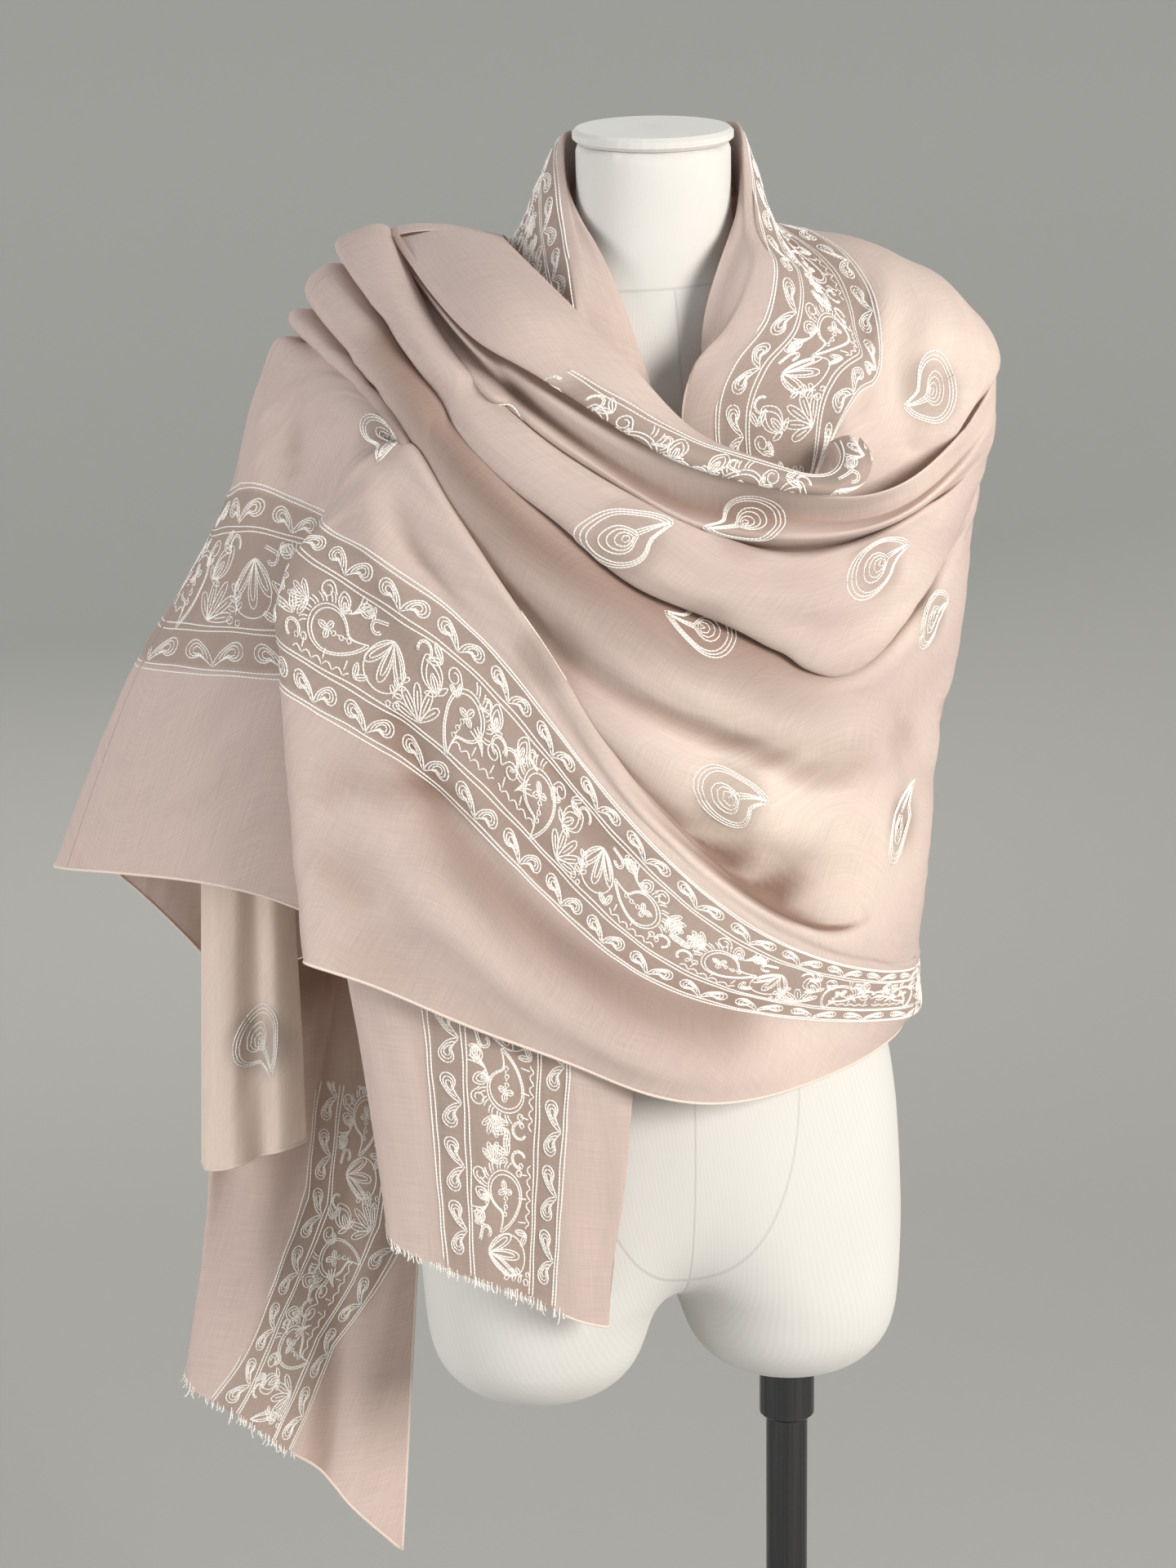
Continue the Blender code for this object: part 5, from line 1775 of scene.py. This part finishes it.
def embroider(name, sheet, placed, path):
    """Thread laid on a sheet's outer face along paths of (row, column). Points that run off the sheet
    are dropped, and a path breaks there."""
    rows, cols = sheet.grid.shape[:2]
    inside = (placed[:, 0] >= 0.0) & (placed[:, 0] <= rows - 1.0)
    inside &= (placed[:, 1] >= 0.0) & (placed[:, 1] <= cols - 1.0)
    fresh = np.concatenate([[True], (path[1:] != path[:-1]) | (inside[1:] != inside[:-1])])
    number = np.cumsum(fresh)[inside]
    placed = placed[inside]
    keep = np.bincount(number)[number] >= 2
    number, placed = number[keep], placed[keep]
    normals = unit(sample(sheet.normals, *placed.T))
    points = sample(sheet.grid, *placed.T) + normals * (CLOTH / 2.0 - THREAD_SUNK)
    sheet.sewn.append(along_paths(name, points, normals, number, THREAD_WIDTH, THREAD_PROFILE, thread))


def embroider_band(name, band, offset=0.0, below=0.0, first_col=0):
    """The border along a band: offset and below pick where in the pattern it starts. Columns before
    the first one are left plain, where other cloth hides them."""
    paths, number = joined(border(offset + band.run[-1]))
    kept = (paths[:, 0] >= offset) & (paths[:, 1] >= below)
    placed = band.place(paths[kept] - (offset, below))
    shown = placed[:, 1] >= first_col
    embroider(name, band.sheet, placed[shown], number[kept][shown])


# %% Borders
flat, number = joined(border(ring_band.run[-1]))
placed = ring_band.place(flat)
embroider("front_border", front, placed - (0.0, CREST), number)
embroider("back_border", back, (placed - (0.0, SIDE)) / (1.0, BACK_STEP), number)
embroider_band("thrown_border", thrown_band)
embroider_band("neck_border", neck_band, offset=40.0)
embroider_band("roll_border", roll_band, offset=60.0, below=23.0, first_col=ROLL_BARE)
embroider_band("front_tail_border", front_tail_band, offset=20.0, first_col=10)
embroider_band("corner_tail_border", corner_band, offset=90.0, first_col=26)

# %% [markdown]
# ### Field paisleys
# In the field between the two borders, single paisleys stand about a hand apart in staggered rows.
# Each is placed by the row and column of its sheet; the way its tip points is read as seen from the
# front or back, and the sheet's own directions there turn it into a direction in the cloth.

# %% Field paisleys
PAISLEYS = (
    # sheet, row, column, way of the tip in degrees from the right, length
    (neck, 72, 130, 215, 54),
    (front, 53, 89, 15, 60),
    (front, 21, 112, 190, 56),
    (front, 51, 137, 30, 54),
    (front, 79, 110, 160, 50),
    (front, 84, 150, 40, 48),
    (front, 109, 118, 0, 60),
    (front, 111, 149, 80, 52),
    (front, 123, 96, 300, 54),
    (front, 124, 47, 250, 54),
    (front, 36, 50, 300, 54),
    (side_tail, 31, 50, 294, 58),
    (back, 40, 20, 30, 54),
    (back, 70, 30, 200, 54),
    (back, 100, 14, 60, 54),
    (back, 104, 40, 10, 54),
    (back, 66, 8, 150, 54),
    (thrown_part, 52, 44, 240, 56),
    (thrown_part, 84, 66, 300, 56),
    (thrown_part, 100, 24, 200, 56),
    (thrown_part, 40, 16, 280, 56),
    (thrown_part, 70, 84, 250, 52),
)


def shade_under(sheet, row, col, size):
    """Adds 0.7 exp(-(distance / 0.42 size)^6) about a paisley to the worked mask: cloth drawn greyer
    under the thread, and painted shade.
    """
    away = np.linalg.norm(sheet.grid - sheet.grid[row, col], axis=-1) / (0.42 * size)
    near = np.tile(0.7 * np.exp(-(away**6)).ravel(), 2)
    values = np.empty(len(near), np.float32)
    mask = sheet.piece.data.attributes["worked_shade"].data
    mask.foreach_get("value", values)
    mask.foreach_set("value", np.maximum(values, near).astype(np.float32))


for number, (sheet, row, col, way, size) in enumerate(PAISLEYS, 1):
    flat, path = joined(paisley_places(sheet, row, col, size, way), THREAD_STEP / 2.0)
    embroider(f"paisley_{number:02d}", sheet, flat, path)
    shade_under(sheet, row, col, size)

# %% [markdown]
# ## Hems and frayed ends
# Both long edges are rolled and overcast, so each ends in a cord a little over two millimetres
# thick. The two ends were cut across the border, and there the embroidery's threads stand out in
# short tufts.

# %% Hems
HEM = 2.3  # mm
HEM_PROFILE = arc(0.5, 0.0, 1.75, 8)


def roll_hem(name, owner, *edges):
    """A cord along edges of sheets: each edge is the sheet, the rows and the columns of its points. The
    owner is the stretch that the hem counts with."""
    points, normals, path = [], [], []
    for number, (sheet, rows, cols) in enumerate(edges):
        row, col = np.broadcast_arrays(np.asarray(rows, float), np.asarray(cols, float))
        points.append(sample(sheet.grid, row, col))
        normals.append(unit(sample(sheet.normals, row, col)))
        path.append(np.full(len(row), number))
    points, normals, path = map(np.concatenate, (points, normals, path))
    owner.sewn.append(along_paths(name, points, normals, path, HEM, HEM_PROFILE, hem_cord))


# Where the cut end stops and the hem begins, as fold numbers from a tail's left edge.
CORNER_CUT, FRONT_CUT = 3.3, 5.0
last_row = {tail: tail.grid.shape[0] - 1.0 for tail in (ring, side_tail, corner_tail, front_tail)}
roll_hem("bottom_hem", front, (ring, last_row[ring], np.arange(0.0, last_column)))
roll_hem(
    "side_tail_hem",
    side_tail,
    (side_tail, np.arange(0.0, last_row[side_tail] + 0.5), SIDE_RUN - 1.0),
)
roll_hem(
    "corner_tail_hem",
    corner_tail,
    (corner_tail, np.arange(CORNER_OVER * CORNER_CUT, last_row[corner_tail]), CORNER_RUN - 1.0),
    (corner_tail, last_row[corner_tail], np.arange(20.0, CORNER_RUN - 0.5)),
)
roll_hem(
    "front_tail_hem",
    front_tail,
    (front_tail, np.arange(FRONT_OVER * FRONT_CUT, last_row[front_tail] + 0.5), FRONT_RUN - 1.0),
)

# %% Frayed ends
def fray(name, sheet, first, last, strands, seed):
    """Short threads that stand out past the sheet's foot between two of its rows. Each goes on down the
    cloth, wandering aside by up to a third of its own length."""
    chance = np.random.default_rng(seed)
    row = np.sort(chance.uniform(first, last, strands))
    col = np.full(strands, sheet.grid.shape[1] - 1.01)
    foot = sample(sheet.grid, row, col)
    down = unit(foot - sample(sheet.grid, row, col - 3.0))
    out = unit(sample(sheet.normals, row, col))
    side = np.cross(down, out)
    length = chance.uniform(1.5, 5.5, strands) * (1.0 + 0.8 * (chance.random(strands) > 0.85))
    lean, lift = chance.uniform(-0.45, 0.45, strands), chance.uniform(-0.15, 0.35, strands)
    t = np.array([-0.5, 0.35, 0.75, 1.0])
    aside = side * lean[:, None] + out * lift[:, None]
    way = down[:, None] * t[:, None] + aside[:, None] * t[:, None] ** 2
    points = (foot[:, None] + way * length[:, None, None]).reshape(-1, 3)
    width = np.repeat(chance.uniform(0.6, 1.3, strands), len(t))
    normals, number = np.repeat(out, len(t), axis=0), np.repeat(np.arange(strands), len(t))
    sheet.sewn.append(along_paths(name, points, normals, number, width, THREAD_PROFILE, thread))


fray("corner_tail_fray", corner_tail, 0.5, CORNER_OVER * CORNER_CUT, strands=120, seed=11)
fray("front_tail_fray", front_tail, FRONT_OVER, FRONT_OVER * FRONT_CUT, strands=110, seed=23)

# %% [markdown]
# ## Flat sizes of the stretches
# The size that each stretch has when laid flat is printed: its greatest length over and along the
# folds, and its area, with the number of embroidery, hem and tuft pieces that are sewn on it.

# %% Flat sizes
for name, sheet, _, _ in STRETCHES:
    long, wide, area = (round(float(value), 3) for value in sheet.size())
    print(name, "measures", wide, "x", long, "m, area", area, "with", len(sheet.sewn), "pieces on it")
